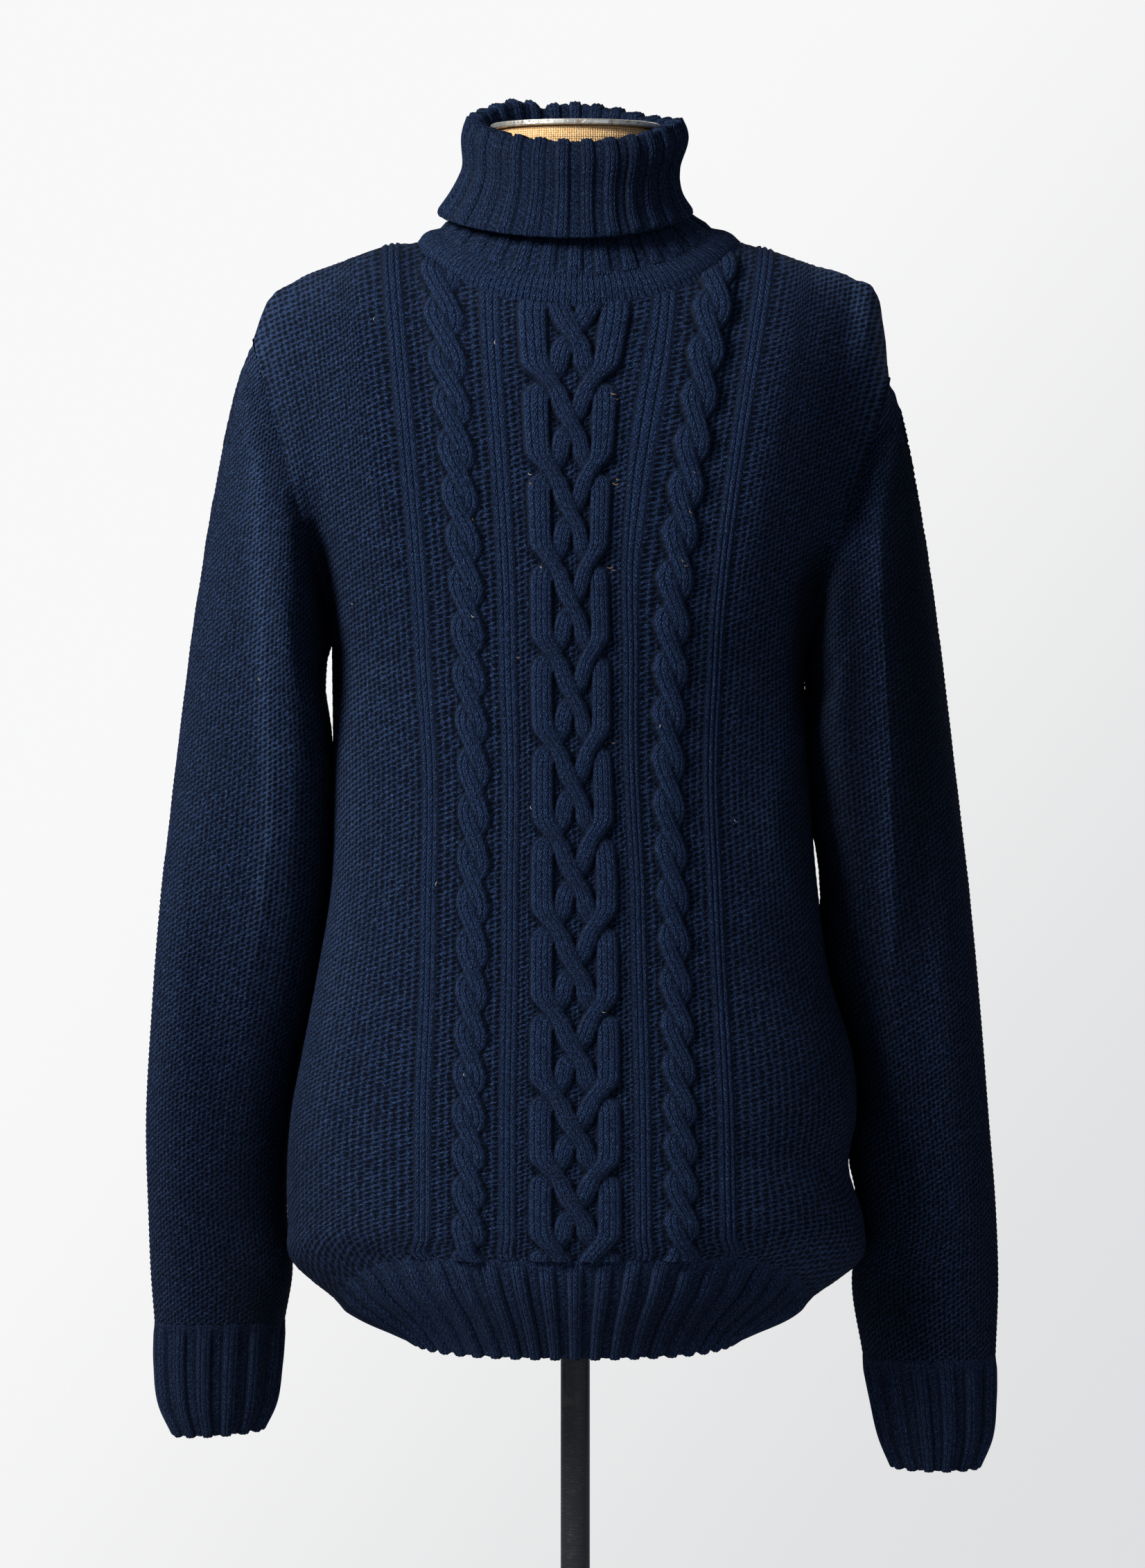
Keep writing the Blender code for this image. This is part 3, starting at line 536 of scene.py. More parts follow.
def top_point(across, depth):
    """Where each column ends: on the neckline, or on the shoulder seam."""
    top = through(COLUMN_STATIONS, COLUMN_TOPS, np.abs(across))
    side = np.where(across < 0, -1.0, 1.0)
    turn = np.arcsin(np.clip(top, 0, 1)) * side
    neck = neck_ring(NECK_RINGS[0], turn if depth < 0 else math.pi - turn)
    shoulder = []
    for part in ("", "_z"):
        left = read(SHOULDER, "top", "left" + part, top)
        right = read(SHOULDER, "top", "right" + part, top)
        shoulder.append(np.where(side < 0, left, right))
    seam = np.stack([side * shoulder[0], np.zeros_like(top), shoulder[1]], axis=-1)
    return np.where((top <= 1)[:, None], neck, seam), top, side


def yoke(across, steps, depth):
    """Points of the columns from the underarm ring to their tops."""
    low = lower_body(across, np.array([UNDERARM_Z]), depth)[0]
    high, top, side = top_point(across, depth)
    handle = {name: read(YOKE_HANDLES, "top", name, top) for name in YokeHandle._fields[1:]}
    low_handle = low + np.stack([side * handle["low_out"], depth * handle["low_forward"],
                                 handle["low_up"]], axis=-1)
    high_handle = np.stack([high[:, 0] + side * handle["high_out"],
                            depth * handle["high_depth"], high[:, 2] - handle["high_down"]],
                           axis=-1)
    t = steps[:, None, None]
    return ((1 - t)**3 * low + 3 * (1 - t)**2 * t * low_handle
            + 3 * (1 - t) * t**2 * high_handle + t**3 * high)


print(f"neckline: lowest at z = {neck_ring(NECK_RINGS[0], np.array([0.0]))[0, 2]:.3f}")

# %% Count rows of stitches along each column
LEVEL_SHARE = 0.20         # a step on nearly level cloth counts at least this much of its length
LOWER_POINTS, YOKE_POINTS = 160, 121


def course_numbers(curves, pitch=COURSE):
    """How many rows of stitches each point is above its column's first one.

    A worn knit's rows stay level, so a step counts by its rise unless it is nearly flat."""
    steps = np.diff(curves, axis=0)
    level = LEVEL_SHARE * np.linalg.norm(steps, axis=2)
    steps = np.maximum(np.abs(steps[..., 2]), level) / pitch
    return np.vstack([np.zeros(curves.shape[1]), np.cumsum(steps, axis=0)])


def body_columns(across, depth):
    """Dense curves of the columns and the row number at each of their points."""
    z = np.linspace(RIB_TOP_Z, UNDERARM_Z, LOWER_POINTS)
    lower = lower_body(across, z, depth)
    pitch = COURSE_AT_RIB + (COURSE - COURSE_AT_RIB) * smooth_step(*EVEN_Z, z[:-1, None])
    middle = course_numbers(lower_body(np.array([0.0]), z, -1), pitch)
    upper = yoke(across, np.linspace(0, 1, YOKE_POINTS), depth)
    courses = np.vstack([np.repeat(middle, len(across), axis=1),
                         middle[-1] + course_numbers(upper)[1:]])
    return np.concatenate([lower, upper[1:]]), courses


print(f"front: {body_columns(np.array([0.0]), -1)[1][-1, 0]:.0f} rows in the middle")

# %% [markdown]
# ## Laying a knit
# A knit is a grid: wales across and courses along. The sheets are grids of the same kind, with
# two rows of points to each course, so that the rows of purl bumps can stand out at the edges
# of the sweater too. Where a column reaches its seam early, its points stop there.

# %% Lay rows of points on the columns
Sheet = namedtuple("Sheet", "points index across courses")


def points_at(at, stations, line):
    """Points of a line at other stations."""
    return np.stack([np.interp(at, stations, line[:, axis]) for axis in range(3)], axis=-1)


def lay_rows(curves, numbers, across, rows):
    """Points of all columns at these row numbers, stopped at each column's end."""
    points = np.stack([points_at(rows, numbers[:, c], curves[:, c])
                       for c in range(len(across))], axis=1)
    last = np.array([min(np.searchsorted(rows, numbers[-1, c]), len(rows) - 1)
                     for c in range(len(across))])
    row = np.minimum(np.arange(len(rows))[:, None], last[None, :])
    index = row * len(across) + np.arange(len(across))[None, :]
    courses = np.minimum(rows[:, None], numbers[-1][None, :])
    return Sheet(points, index, np.broadcast_to(across, courses.shape), courses)


def row_numbers(numbers, step=0.5):
    """The rows to lay points on: every half row, up to the end of the longest column."""
    return np.arange(0, numbers[-1].max() + step, step)


def faces_of(index, wraps=False):
    """Quads of a grid of point numbers, without those that have no area."""
    if wraps:
        index = np.concatenate([index, index[:, :1]], axis=1)
    quads = np.stack([index[:-1, :-1], index[:-1, 1:], index[1:, 1:], index[1:, :-1]],
                     axis=-1).reshape(-1, 4)
    left_done = quads[:, 0] == quads[:, 3]
    right_done = quads[:, 1] == quads[:, 2]
    return [tuple(q) for q in quads[~left_done & ~right_done].tolist()] + \
        [tuple(q) for q in quads[left_done & ~right_done][:, :3].tolist()] + \
        [tuple(q) for q in quads[~left_done & right_done][:, [0, 1, 3]].tolist()]


def point_normals(points, faces):
    """The mean direction of the faces round each point."""
    quads = np.array([f if len(f) == 4 else f + f[:1] for f in faces])
    corners = points[quads]
    face = np.cross(corners[:, 2] - corners[:, 0], corners[:, 3] - corners[:, 1])
    total = np.zeros_like(points)
    for k in range(4):
        np.add.at(total, quads[:, k], face)
    length = np.linalg.norm(total, axis=1, keepdims=True)
    return total / np.maximum(length, 1e-12)


print("3 x 3 points:", len(faces_of(np.arange(9).reshape(3, 3))), "faces")

# %% [markdown]
# ## Stitches, ribs and cables as heights
# Seen from the right side, knit stitches stand up and purl stitches sink. A rib is a few
# wales of knit on a purl ground. A cable is a band of knit strands that cross, some stitches
# passing over the others. So each pattern is a height above the ground, for every place
# across and every row. Where two strands meet, the higher one is seen.

# %% Describe a strand of knit
STITCH_DIP = 0.0007        # the groove between two wales
PURL_RISE = 0.00035        # a row of purl bumps above the gap between rows
INNER_RIB = 0.0414         # from the middle line, and where the looser stitches begin
CABLE_SQUARE = 2.8         # 2 makes a round back, and more a flatter one with steeper sides
LIFT_COUNTS = 4            # how much more a strand's lift counts than its back, to be seen
Relief = namedtuple("Relief", "height knit stitch_u rank")


def rounded(distance, half_width, rise, power=2.0):
    """A round back over a strip: rise in its middle, 0 at its edges."""
    return rise * np.sqrt(np.clip(1 - np.abs(distance / half_width)**power, 0.0, None))


def body_wales(across):
    """Purl wales from the middle. Beyond the inner ribs they lie looser than between them."""
    beyond = np.maximum(np.abs(across) - INNER_RIB, 0.0)
    return np.sign(across) * ((np.abs(across) - beyond) / WALE + beyond / SIDE_WALE)


def purl_ground(wales, courses):
    """Purl bumps, half a row higher in every second wale."""
    bumps = np.cos(2 * math.pi * courses) * np.cos(math.pi * wales)
    return Relief(PURL_RISE * bumps, np.zeros_like(wales), wales, np.full(wales.shape, -1.0))


def lay_strand(relief, distance, half_width, rise, lift, wales):
    """The relief with a strand of knit laid over what has a lower rank."""
    shift = 0.5 if wales % 2 == 0 else 0.0
    wale = distance / (2 * half_width) * wales + shift
    groove = STITCH_DIP * (np.cos(2 * math.pi * wale) - 1) / 2
    back = rounded(distance, half_width, rise, CABLE_SQUARE)
    rank = lift * LIFT_COUNTS + back
    wins = (np.abs(distance) < half_width) & (rank > relief.rank)
    return Relief(np.where(wins, lift + back + groove, relief.height),
                  np.where(wins, 1.0, relief.knit), np.where(wins, wale, relief.stitch_u),
                  np.where(wins, rank, relief.rank))


print(f"four stitches: {4000 * WALE:.1f} mm wide")

# %% Lay straight ribs
RIB_RISE = 0.0019
RIB_HALF_WIDTH = 0.0053
RIB_WALES = 3
RIB_SQUARE = 3.5
RIB_GROOVE = 2.4           # its grooves, against those of a cable


def lay_rib(relief, distance):
    """A rib of three wales."""
    inside = np.abs(distance) < RIB_HALF_WIDTH
    wale = distance / (2 * RIB_HALF_WIDTH) * RIB_WALES
    groove = STITCH_DIP * RIB_GROOVE * (np.cos(2 * math.pi * wale) - 1) / 2
    height = rounded(distance, RIB_HALF_WIDTH, RIB_RISE, RIB_SQUARE) + groove
    return Relief(np.where(inside, height, relief.height), np.where(inside, 1.0, relief.knit),
                  np.where(inside, wale, relief.stitch_u), np.where(inside, 0.0, relief.rank))


print(f"a rib: {2000 * RIB_HALF_WIDTH:.1f} mm wide")

# %% [markdown]
# ## Cables
# A rope is two strands that cross every eight rows, always the same way. The wide middle cable
# is a plait of four: its outer pairs cross one way and its middle pair the other. Each could
# be modelled as tubes, but knitted strands are flat bands of wool that share one cloth. So a
# short table tells one strand's way, how far aside it is and how high it lies, and the other
# strands follow the same way, a part of its length behind.

# %% Twist the rope cables
ROPE_ROWS = 8              # from one crossing to the next
ROPE_SWING = 0.0047        # a strand's way from the middle of its rope
ROPE_HALF_STRAND = 0.0058
ROPE_RISE = 0.0028         # a strand's back above its edges
ROPE_BASE, ROPE_LIFT = 0.0010, 0.0013   # where it lies above the ground, and how much it sways
# One strand's way, counted in crossings: its place, from -1 left to 1 right, and its lift.
WayStep = namedtuple("WayStep", "at place lift")
ROPE_WAY = [WayStep(*step) for step in (
    (0.00, 0.00, 1.0), (0.22, 0.56, 0.95), (0.42, 0.95, 0.7), (0.60, 1.05, 0.1),
    (0.78, 0.85, -0.7), (1.00, 0.00, -1.0), (1.22, -0.85, -0.7), (1.40, -1.05, 0.1),
    (1.58, -0.95, 0.7), (1.78, -0.56, 0.95))]


def endless(way, count):
    """A way that repeats after count, with a step before its start and after its end."""
    return [way[-1]._replace(at=way[-1].at - count)] + way + \
        [step._replace(at=step.at + count) for step in way[:2]]


def lay_rope(relief, across, courses, start):
    """Two strands that always cross the same way, like a rope."""
    way = endless(ROPE_WAY, 2)
    for strand in range(2):
        at = ((start - courses) / ROPE_ROWS + strand) % 2.0
        place, lift = read(way, "at", "place", at), read(way, "at", "lift", at)
        relief = lay_strand(relief, across - ROPE_SWING * place, ROPE_HALF_STRAND,
                            ROPE_RISE, ROPE_BASE + ROPE_LIFT * lift, 3)
    return relief


print(f"a rope: {2000 * (ROPE_SWING + ROPE_HALF_STRAND):.1f} mm wide")

# %% Plait the middle cable
BRAID_ROWS = 16            # from one pair of outer crossings to the next
BRAID_HALF_STRAND = 0.0074
BRAID_THIN = 0.86          # a strand's width in the middle of the plait, against its turns
BRAID_TURN = (0.010, 0.020)   # how far from the middle it widens
BRAID_RISE = 0.0032
BRAID_BASE, BRAID_LIFT = 0.0008, 0.0015
# One strand's way, counted in half periods: how far it is from the middle, and whether it
# goes over (1) or under (-1) the strand it crosses. After eight half periods it starts anew.
BRAID_WAY = [WayStep(*step) for step in (
    (0.00, -0.0150, 1.0), (0.25, -0.0095, 0.9), (0.50, -0.0068, 0.7), (0.75, -0.0042, 0.8),
    (1.00, -0.0005, 1.0), (1.25, 0.0040, 0.8), (1.50, 0.0064, 0.3), (1.75, 0.0078, -0.1),
    (2.00, 0.0120, -1.0), (2.25, 0.0195, -0.6), (2.50, 0.0206, 0.1), (3.00, 0.0208, 0.3),
    (3.50, 0.0206, 0.4), (3.75, 0.0198, 0.8), (4.00, 0.0150, 1.0), (4.25, 0.0100, 0.8),
    (4.50, 0.0074, 0.5), (4.75, 0.0048, -0.2), (5.00, 0.0005, -1.0), (5.25, -0.0045, -0.4),
    (5.50, -0.0068, 0.0), (5.75, -0.0080, -0.2), (6.00, -0.0120, -1.0), (6.25, -0.0195, -0.6),
    (6.50, -0.0206, 0.1), (7.00, -0.0208, 0.3), (7.50, -0.0206, 0.4), (7.75, -0.0198, 0.8))]


def lay_braid(relief, across, courses, start):
    """A plait of four strands."""
    way = endless(BRAID_WAY, 8)
    for strand in range(4):
        at = ((start - courses) / (BRAID_ROWS / 2) + 2 * strand) % 8.0
        place, lift = read(way, "at", "place", at), read(way, "at", "lift", at)
        wide = smooth_step(*BRAID_TURN, np.abs(place))
        half = BRAID_HALF_STRAND * (BRAID_THIN + (1 - BRAID_THIN) * wide)
        relief = lay_strand(relief, across - place, half, BRAID_RISE,
                            BRAID_BASE + BRAID_LIFT * lift, 4)
    return relief


print(f"the plait: {2000 * (BRAID_WAY[11].place + BRAID_HALF_STRAND):.1f} mm wide")

# %% Put the front's pattern together
ROPE = 0.0645              # from the middle line
OUTER_RIB = 0.0930
CROSSING_Z = 0.806         # height of one pair of the braid's outer crossings
ROPE_START = {-1: -0.8, 1: 0.4}   # rows from there to a crossing of the left and right rope


def front_relief(across, courses, crossing):
    """Heights of the front's cables and ribs on their purl ground."""
    relief = purl_ground(body_wales(across), courses)
    for side in (-1, 1):
        relief = lay_rib(relief, across - side * INNER_RIB)
        relief = lay_rib(relief, across - side * OUTER_RIB)
        relief = lay_rope(relief, across - side * ROPE, courses, crossing + ROPE_START[side])
    return lay_braid(relief, across, courses, crossing)


print(f"bands beside the plait at {INNER_RIB}, {ROPE} and {OUTER_RIB} m")

# %% [markdown]
# ## Creases
# Knitwear folds softly. A cloth simulation would find folds of its own, but a worn sweater's
# are known, so they are placed along paths seen from the front, and push the cloth
# straight towards the front. A sharp crease comes from pressing: it is a line where the cloth
# turns. A soft one is a wave or, with a negative rise, a hollow. The deep hollows are where
# the sleeves meet the body. Both cloths use the same table there, so their seam stays closed.

# %% List the creases
MM = 0.001
Crease = namedtuple("Crease", "name sharp width rise tone path")


def crease(name, sharp, width, rise, tone, path):
    """A crease from sizes in millimetres. Its path is a list of x, z and the rise's share there.

    The number before the path paints light into the wool's colour there: a highlight, or with a
    minus a shade."""
    return Crease(name, sharp, width * MM, rise * MM, tone, np.array(path) * (MM, MM, 1))


# The number before each path paints light into the wool's colour: a painted highlight along the
# pressed lines and the edges of the shoulders and the body, and painted shade on the lower
# sleeves, the hem, the collar, the armholes, the sides of the right sleeve and some hollows.
CREASES = [
    crease("left sleeve front", False, 19, 12, 0, [
        (-194, 930, 0), (-192, 890, 0.5), (-188, 850, 1), (-186, 790, 1), (-186, 730, 1),
        (-186, 670, 0.7), (-189, 610, 0.4), (-194, 540, 0)]),
    crease("left lower sleeve shade", False, 70, 0, -0.40, [
        (-235, 530, 0), (-235, 460, 0.6), (-235, 390, 1), (-235, 250, 1)]),
    crease("right lower sleeve shade", False, 60, 0, -0.20, [
        (235, 560, 0), (235, 480, 0.7), (235, 400, 1), (235, 200, 1)]),
    crease("left shoulder highlight", False, 16, 0, 0.12, [
        (-150, 995, 0.5), (-180, 985, 1), (-200, 965, 1), (-206, 940, 0.8), (-206, 920, 0)]),
    crease("hem shade", False, 26, 0, -0.40, [
        (-200, 322, 1), (200, 322, 1)]),
    crease("collar shade", False, 45, 0, -0.25, [
        (-100, 1065, 1), (100, 1065, 1)]),
    crease("right sleeve shade", False, 28, 0, -0.55, [
        (176, 820, 0), (174, 790, 0.9), (174, 700, 1), (176, 600, 1), (188, 500, 0.9),
        (200, 420, 0.5), (210, 340, 0.3), (220, 250, 0.3)]),
    crease("right outer shade", False, 23, 0, -0.55, [
        (218, 900, 0), (219, 870, 0.8), (220, 790, 1), (226, 700, 1), (232, 600, 0.6),
        (236, 520, 0)]),
    crease("right shoulder highlight", False, 14, 0, 0.40, [
        (150, 995, 0.5), (178, 985, 1), (195, 960, 1), (196, 920, 0.6), (196, 880, 0)]),
    crease("left press", True, 5.5, 4, 0.26, [
        (-206.4, 980, 0), (-206.4, 948, 0.7), (-205, 913, 1), (-204.2, 873, 1), (-202.8, 807, 1),
        (-201, 763, 1), (-198, 719, 1), (-196.2, 675, 0.9), (-196.2, 631, 0.9),
        (-201.5, 587, 0.7), (-209, 543, 0.3), (-215, 510, 0)]),
    crease("left valley", False, 20, -6, -0.15, [
        (-238, 640, 0), (-238, 590, 0.6), (-237.6, 543, 1), (-234, 480, 0.6), (-232, 420, 0)]),
    crease("left twist", False, 48, 23, 0, [
        (-286, 660, 0), (-288, 600, 0.4), (-290, 540, 0.9), (-290, 450, 1), (-288, 340, 1),
        (-286, 250, 0.5)]),
    crease("left sleeve inner", False, 15, 19, 0, [
        (-187, 878, 0), (-183.9, 851, 0.6), (-181.3, 816, 1), (-178.6, 785, 1), (-176, 750, 0.9),
        (-174.2, 719, 0.6), (-173.4, 675, 0.5), (-175.1, 631, 0.5), (-180.4, 565, 0.3),
        (-189, 500, 0)]),
    crease("left sleeve fold", False, 8, 5, 0, [
        (-176, 851, 0), (-173.5, 816, 0.8), (-171, 785, 1), (-170, 750, 1), (-169, 719, 1),
        (-169, 675, 0.8), (-170, 620, 0)]),
    crease("left armhole", False, 9, -26, -0.55, [
        (-179, 864, 0), (-167.2, 833, 0.3), (-166.3, 822, 0.6), (-163.7, 807, 0.9),
        (-160.2, 780, 1), (-159.3, 763, 1), (-157.5, 746, 1), (-155, 719, 0.6), (-155, 680, 0)]),
    crease("right press", True, 7, 5.5, 0.10, [
        (190, 985, 0), (190.5, 953, 0.6), (194.5, 920, 1), (195, 847, 1), (196.3, 782, 1),
        (199.8, 732, 1), (202.5, 678, 1), (205, 596, 1), (205.5, 540, 0.7), (206.5, 480, 0.4),
        (207, 420, 0)]),
    crease("right outer hollow", False, 11, -4, -0.15, [
        (208, 900, 0), (210, 850, 1), (213, 780, 1), (218, 700, 1), (223, 600, 1),
        (225, 500, 0.6), (226, 420, 0)]),
    crease("right sleeve head", False, 30, -15, 0, [
        (202, 930, 0), (200, 891, 0.9), (196.2, 851, 1), (194, 820, 0.5), (193, 790, 0)]),
    crease("right sleeve inner", False, 13, 20, 0, [
        (176, 835, 0), (169.4, 816, 0.5), (165.4, 785, 1), (164.6, 750, 1), (165.4, 719, 0.7),
        (169.4, 675, 0.5), (173.8, 631, 0.4), (182.6, 543, 0)]),
    crease("right armhole", False, 9, -24, -0.50, [
        (161, 834, 0), (155.8, 812, 0.4), (150.5, 790, 1), (147.8, 763, 1), (146.5, 719, 0.8),
        (145.2, 693, 0)]),
    crease("right edge", True, 11, 4, 0.30, [
        (143, 760, 0), (136, 719, 0.8), (131, 675, 1), (126.5, 640, 1), (129.5, 622, 1),
        (136, 596, 0.8), (141, 570, 0)]),
    crease("right edge hollow", False, 11, -5, -0.30, [
        (150, 720, 0), (144, 680, 1), (142, 640, 1), (146, 610, 0.7), (152, 580, 0)]),
    crease("left edge", True, 9, 2.5, 0.10, [
        (-142, 760, 0), (-143, 719, 1), (-145.5, 675, 1), (-147.5, 631, 1), (-151, 596, 1),
        (-155, 550, 1), (-156.5, 500, 1), (-156, 450, 0.7), (-156, 400, 0)]),
]
print("creases:", ", ".join(crease.name for crease in CREASES))

# %% [markdown]
# ## Cloth that moves aside
# Some of the cloth moves sideways rather than forward. The inner sides of the sleeves lean on
# the body, a worn sweater's cables never hang quite straight, and nobody folds a collar quite
# level.

# %% List what moves aside
Nudge = namedtuple("Nudge", "name toward path")


def nudge(name, toward, path):
    """Cloth that faces toward, 1 or -1 along x, moves there. The path is x, z and how far."""
    return Nudge(name, toward, np.array(path[::-1]) * MM)


NUDGES = [
    nudge("left sleeve to body", 1, [
        (-158, 760, 0), (-158, 742, -1.5), (-158, 722, 1.5), (-158, 712, 3.5), (-158, 690, 4.5),
        (-157, 675, 6), (-157, 650, 5), (-157, 620, 4.5), (-158, 590, 4), (-160, 570, 3.5),
        (-163, 550, 3.5), (-167, 530, 2.5), (-171, 510, 1.5), (-175, 490, 0)]),
    nudge("right sleeve to body", -1, [
        (150, 725, 0), (150, 710, 4), (151, 690, 5.5), (152, 660, 5), (153, 635, 4.5),
        (154, 622, 2), (155, 605, 0.5), (156, 587, 0.5), (158, 575, 3), (162, 552, 4),
        (165, 530, 4), (170, 515, 3), (176, 490, 0), (178, 450, 0), (178, 435, 6),
        (182, 410, 8.5), (184, 390, 6), (184, 370, 0)]),
    nudge("left of the collar", -1, [
        (-85, 1105, 0), (-85, 1085, -3.5), (-85, 1060, -4), (-88, 1040, -1.5), (-90, 1025, 0)]),
    nudge("right of the collar", 1, [
        (82, 1105, 0), (82, 1085, -3), (80, 1055, -3), (82, 1035, -1), (84, 1020, 0)]),
]
NUDGE_REACH = 0.030
# The front's bands stand aside by the height's amount times the place's share.
DRIFT_AT = np.array([(-100, 0), (-45, 0), (-26, -0.25), (0, 0.25), (26, 1), (44, 0.95),
                    (58, 0.15), (70, 0)]) * (MM, 1)
DRIFT_BY = np.array([(600, 0), (700, -3.6), (754, -4.6), (800, -7.4), (860, -8.5), (912, -9.2),
                    (936, -8), (965, -4), (1000, 0)]) * MM
# The collar's rolled rim behind the neck is raised or lowered: x and how far.
BACK_RIM = np.array([(-90, 0), (-60, 2), (-42, 4), (-30, 1.5), (-21, -3.4), (-12, -1), (5, -1),
                    (24, -3), (48, -5.5), (66, -3), (85, 0)]) * MM
RIM_Z, RIM_Y = (1.062, 1.088), (-0.01, 0.03)   # where the rim behind the neck begins
print("moved aside:", ", ".join(nudge.name for nudge in NUDGES))

# %% Move the cloth aside and push its creases
SIDEWAYS = (0.0, 0.6)      # how squarely cloth faces the side, to move not at all or fully
FRONTAL = (0.3, 0.8)       # and how squarely it faces the front, for the bands
CREASED = (-0.15, 0.30)    # and for the creases
SHARP_TIP = 0.12           # the round of a pressed line, as a share of its width


def crease_share(x, z, crease):
    """How much of a crease's rise each point gets."""
    best = np.full(x.shape, np.inf)
    found = np.zeros(x.shape)
    for start, end in zip(crease.path[:-1], crease.path[1:]):
        span = end[:2] - start[:2]
        t = np.clip(((x - start[0]) * span[0] + (z - start[1]) * span[1]) / span.dot(span), 0, 1)
        away = np.hypot(x - start[0] - t * span[0], z - start[1] - t * span[1])
        share = start[2] + (end[2] - start[2]) * t
        nearer = away < best
        best, found = np.where(nearer, away, best), np.where(nearer, share, found)
    reach = best / crease.width
    if crease.sharp:
        return found * np.exp(SHARP_TIP - np.hypot(reach, SHARP_TIP))
    return found * np.exp(-reach**2)


def lifted(points):
    """The points of the collar's rim behind the neck, raised or lowered."""
    points = points.copy()
    near = smooth_step(*RIM_Z, points[:, 2]) * smooth_step(*RIM_Y, points[:, 1])
    points[:, 2] += near * np.interp(points[:, 0], *BACK_RIM.T)
    return points


def nudged(points, normals):
    """The points moved aside by the nudges, and those of the front's bands by their drift."""
    points = points.copy()
    for nudge in NUDGES:
        x, z, far = nudge.path.T
        middle = np.interp(points[:, 2], z, x)
        amount = np.interp(points[:, 2], z, far)
        near = np.exp(-((points[:, 0] - middle) / NUDGE_REACH)**2)
        facing = smooth_step(*SIDEWAYS, normals[:, 0] * nudge.toward)
        points[:, 0] += nudge.toward * amount * near * facing
    facing = smooth_step(*FRONTAL, -normals[:, 1])
    points[:, 0] += facing * (np.interp(points[:, 0], *DRIFT_AT.T)
                              * np.interp(points[:, 2], *DRIFT_BY.T))
    return points


def creased(points, normals):
    """The points lifted and nudged, then pushed forward or back by the creases."""
    points = lifted(nudged(points, normals))
    x, z = points[:, 0].copy(), points[:, 2].copy()
    facing = smooth_step(*CREASED, -normals[:, 1])
    for crease in CREASES:
        points[:, 1] -= crease.rise * (crease_share(x, z, crease) * facing)
    return points


def crease_painted_light(points, normals):
    """How much painted highlight or painted shade the creases put at each point, 0.5 where none
    is painted.
    """
    tone = np.zeros(len(points))
    facing = smooth_step(*CREASED, -normals[:, 1])
    for crease in CREASES:
        tone += crease.tone * crease_share(points[:, 0], points[:, 2], crease) * facing
    return np.clip(0.5 + tone / 2, 0, 1)


print("in use:", len(CREASES), "creases and", len(NUDGES), "nudges")

# %% [markdown]
# ## The yarn's look
# The yarn is wool in a heathered navy: most fibres are dark blue, some lighter. The stitches
# themselves are smaller than the sheets' points, so a node group draws them as a height from
# the stitch count. Knit stitches are columns of leaning V legs. Purl stitches are wavy rows
# whose crests and troughs show and whose crossings hide. An image of knit could do the same,
# but it would repeat, and it would not follow the cables.

# %% Place a point within its stitch
STRAY_ACROSS, STRAY_ALONG = 0.9, 0.8   # how far a stitch may sit from where the count says
stitches, inside, outside = group_of(
    "stitches", [("Stitch", "NodeSocketVector", None), ("Knit", "NodeSocketFloat", 0.0)],
    [("Height", "NodeSocketFloat"), ("Gap_shade", "NodeSocketFloat")])
calc = partial(math_node, stitches)
counted = inside.outputs["Stitch"]
parts = stitches.nodes.new("ShaderNodeSeparateXYZ")
stitches.links.new(counted, parts.inputs[0])
wale = calc("MULTIPLY_ADD", noise(stitches, counted, 0.9), STRAY_ACROSS, parts.outputs[0])
course = calc("MULTIPLY_ADD", noise(stitches, counted, 1.1), STRAY_ALONG, parts.outputs[1])
aside = calc("PINGPONG", parts.outputs[0], 0.5)
print("place in a stitch:", len(stitches.nodes), "nodes")

# %% Draw the knit stitches
LEG_SLANT = 2.6            # how many rows the legs rise across a wale
LEG_PLACE = 0.20           # how far a leg is from the middle of its wale, in wales
LEG_THIN = 3.7             # the higher, the thinner a leg
LEG_LOW = 0.35             # the height of a leg's lowest place
lean = calc("MULTIPLY_ADD", aside, -LEG_SLANT, course)
leg = calc("MULTIPLY", calc("PINGPONG", lean, 0.5), 2.0)
off_leg = calc("MULTIPLY", calc("SUBTRACT", aside, LEG_PLACE), LEG_THIN)
across_leg = calc("SUBTRACT", 1.0, calc("MULTIPLY", off_leg, off_leg), clamp=True)
knit_height = calc("MULTIPLY", calc("POWER", across_leg, 0.5),
                   calc("MULTIPLY_ADD", leg, 1 - LEG_LOW, LEG_LOW))
print("knit stitches:", len(stitches.nodes), "nodes so far")

# %% Draw the purl stitches
# Bumps lie with a short slanting hole between each two, half a row higher in every second
# wale. Each hole is a little wider or narrower than its neighbours.
HOLE_SLANT = 0.45          # rows per wale
HALF_HOLE, HOLE_CHANCE = 0.345, 0.18   # half a hole's height in rows, and what chance adds
HOLE_STEEP = 0.45          # the lower, the steeper a hole's sides
RIDGE_LOW = 0.55           # the height of the bumps' lowest place
number = calc("FLOOR", wale)
along = calc("SUBTRACT", calc("FRACT", wale), 0.5)
brick = calc("MULTIPLY_ADD", number, 0.5, course)
beside = calc("MULTIPLY_ADD", along, -HOLE_SLANT, calc("SUBTRACT", calc("FRACT", brick), 0.5))
cell = stitches.nodes.new("ShaderNodeCombineXYZ")
stitches.links.new(calc("FLOOR", brick), cell.inputs[0])
stitches.links.new(number, cell.inputs[1])
chance = stitches.nodes.new("ShaderNodeTexWhiteNoise")
chance.noise_dimensions = "2D"
stitches.links.new(cell.outputs[0], chance.inputs["Vector"])
half_hole = calc("MULTIPLY_ADD", chance.outputs["Value"], HOLE_CHANCE, HALF_HOLE)
off_middle = calc("DIVIDE", along, 0.50)
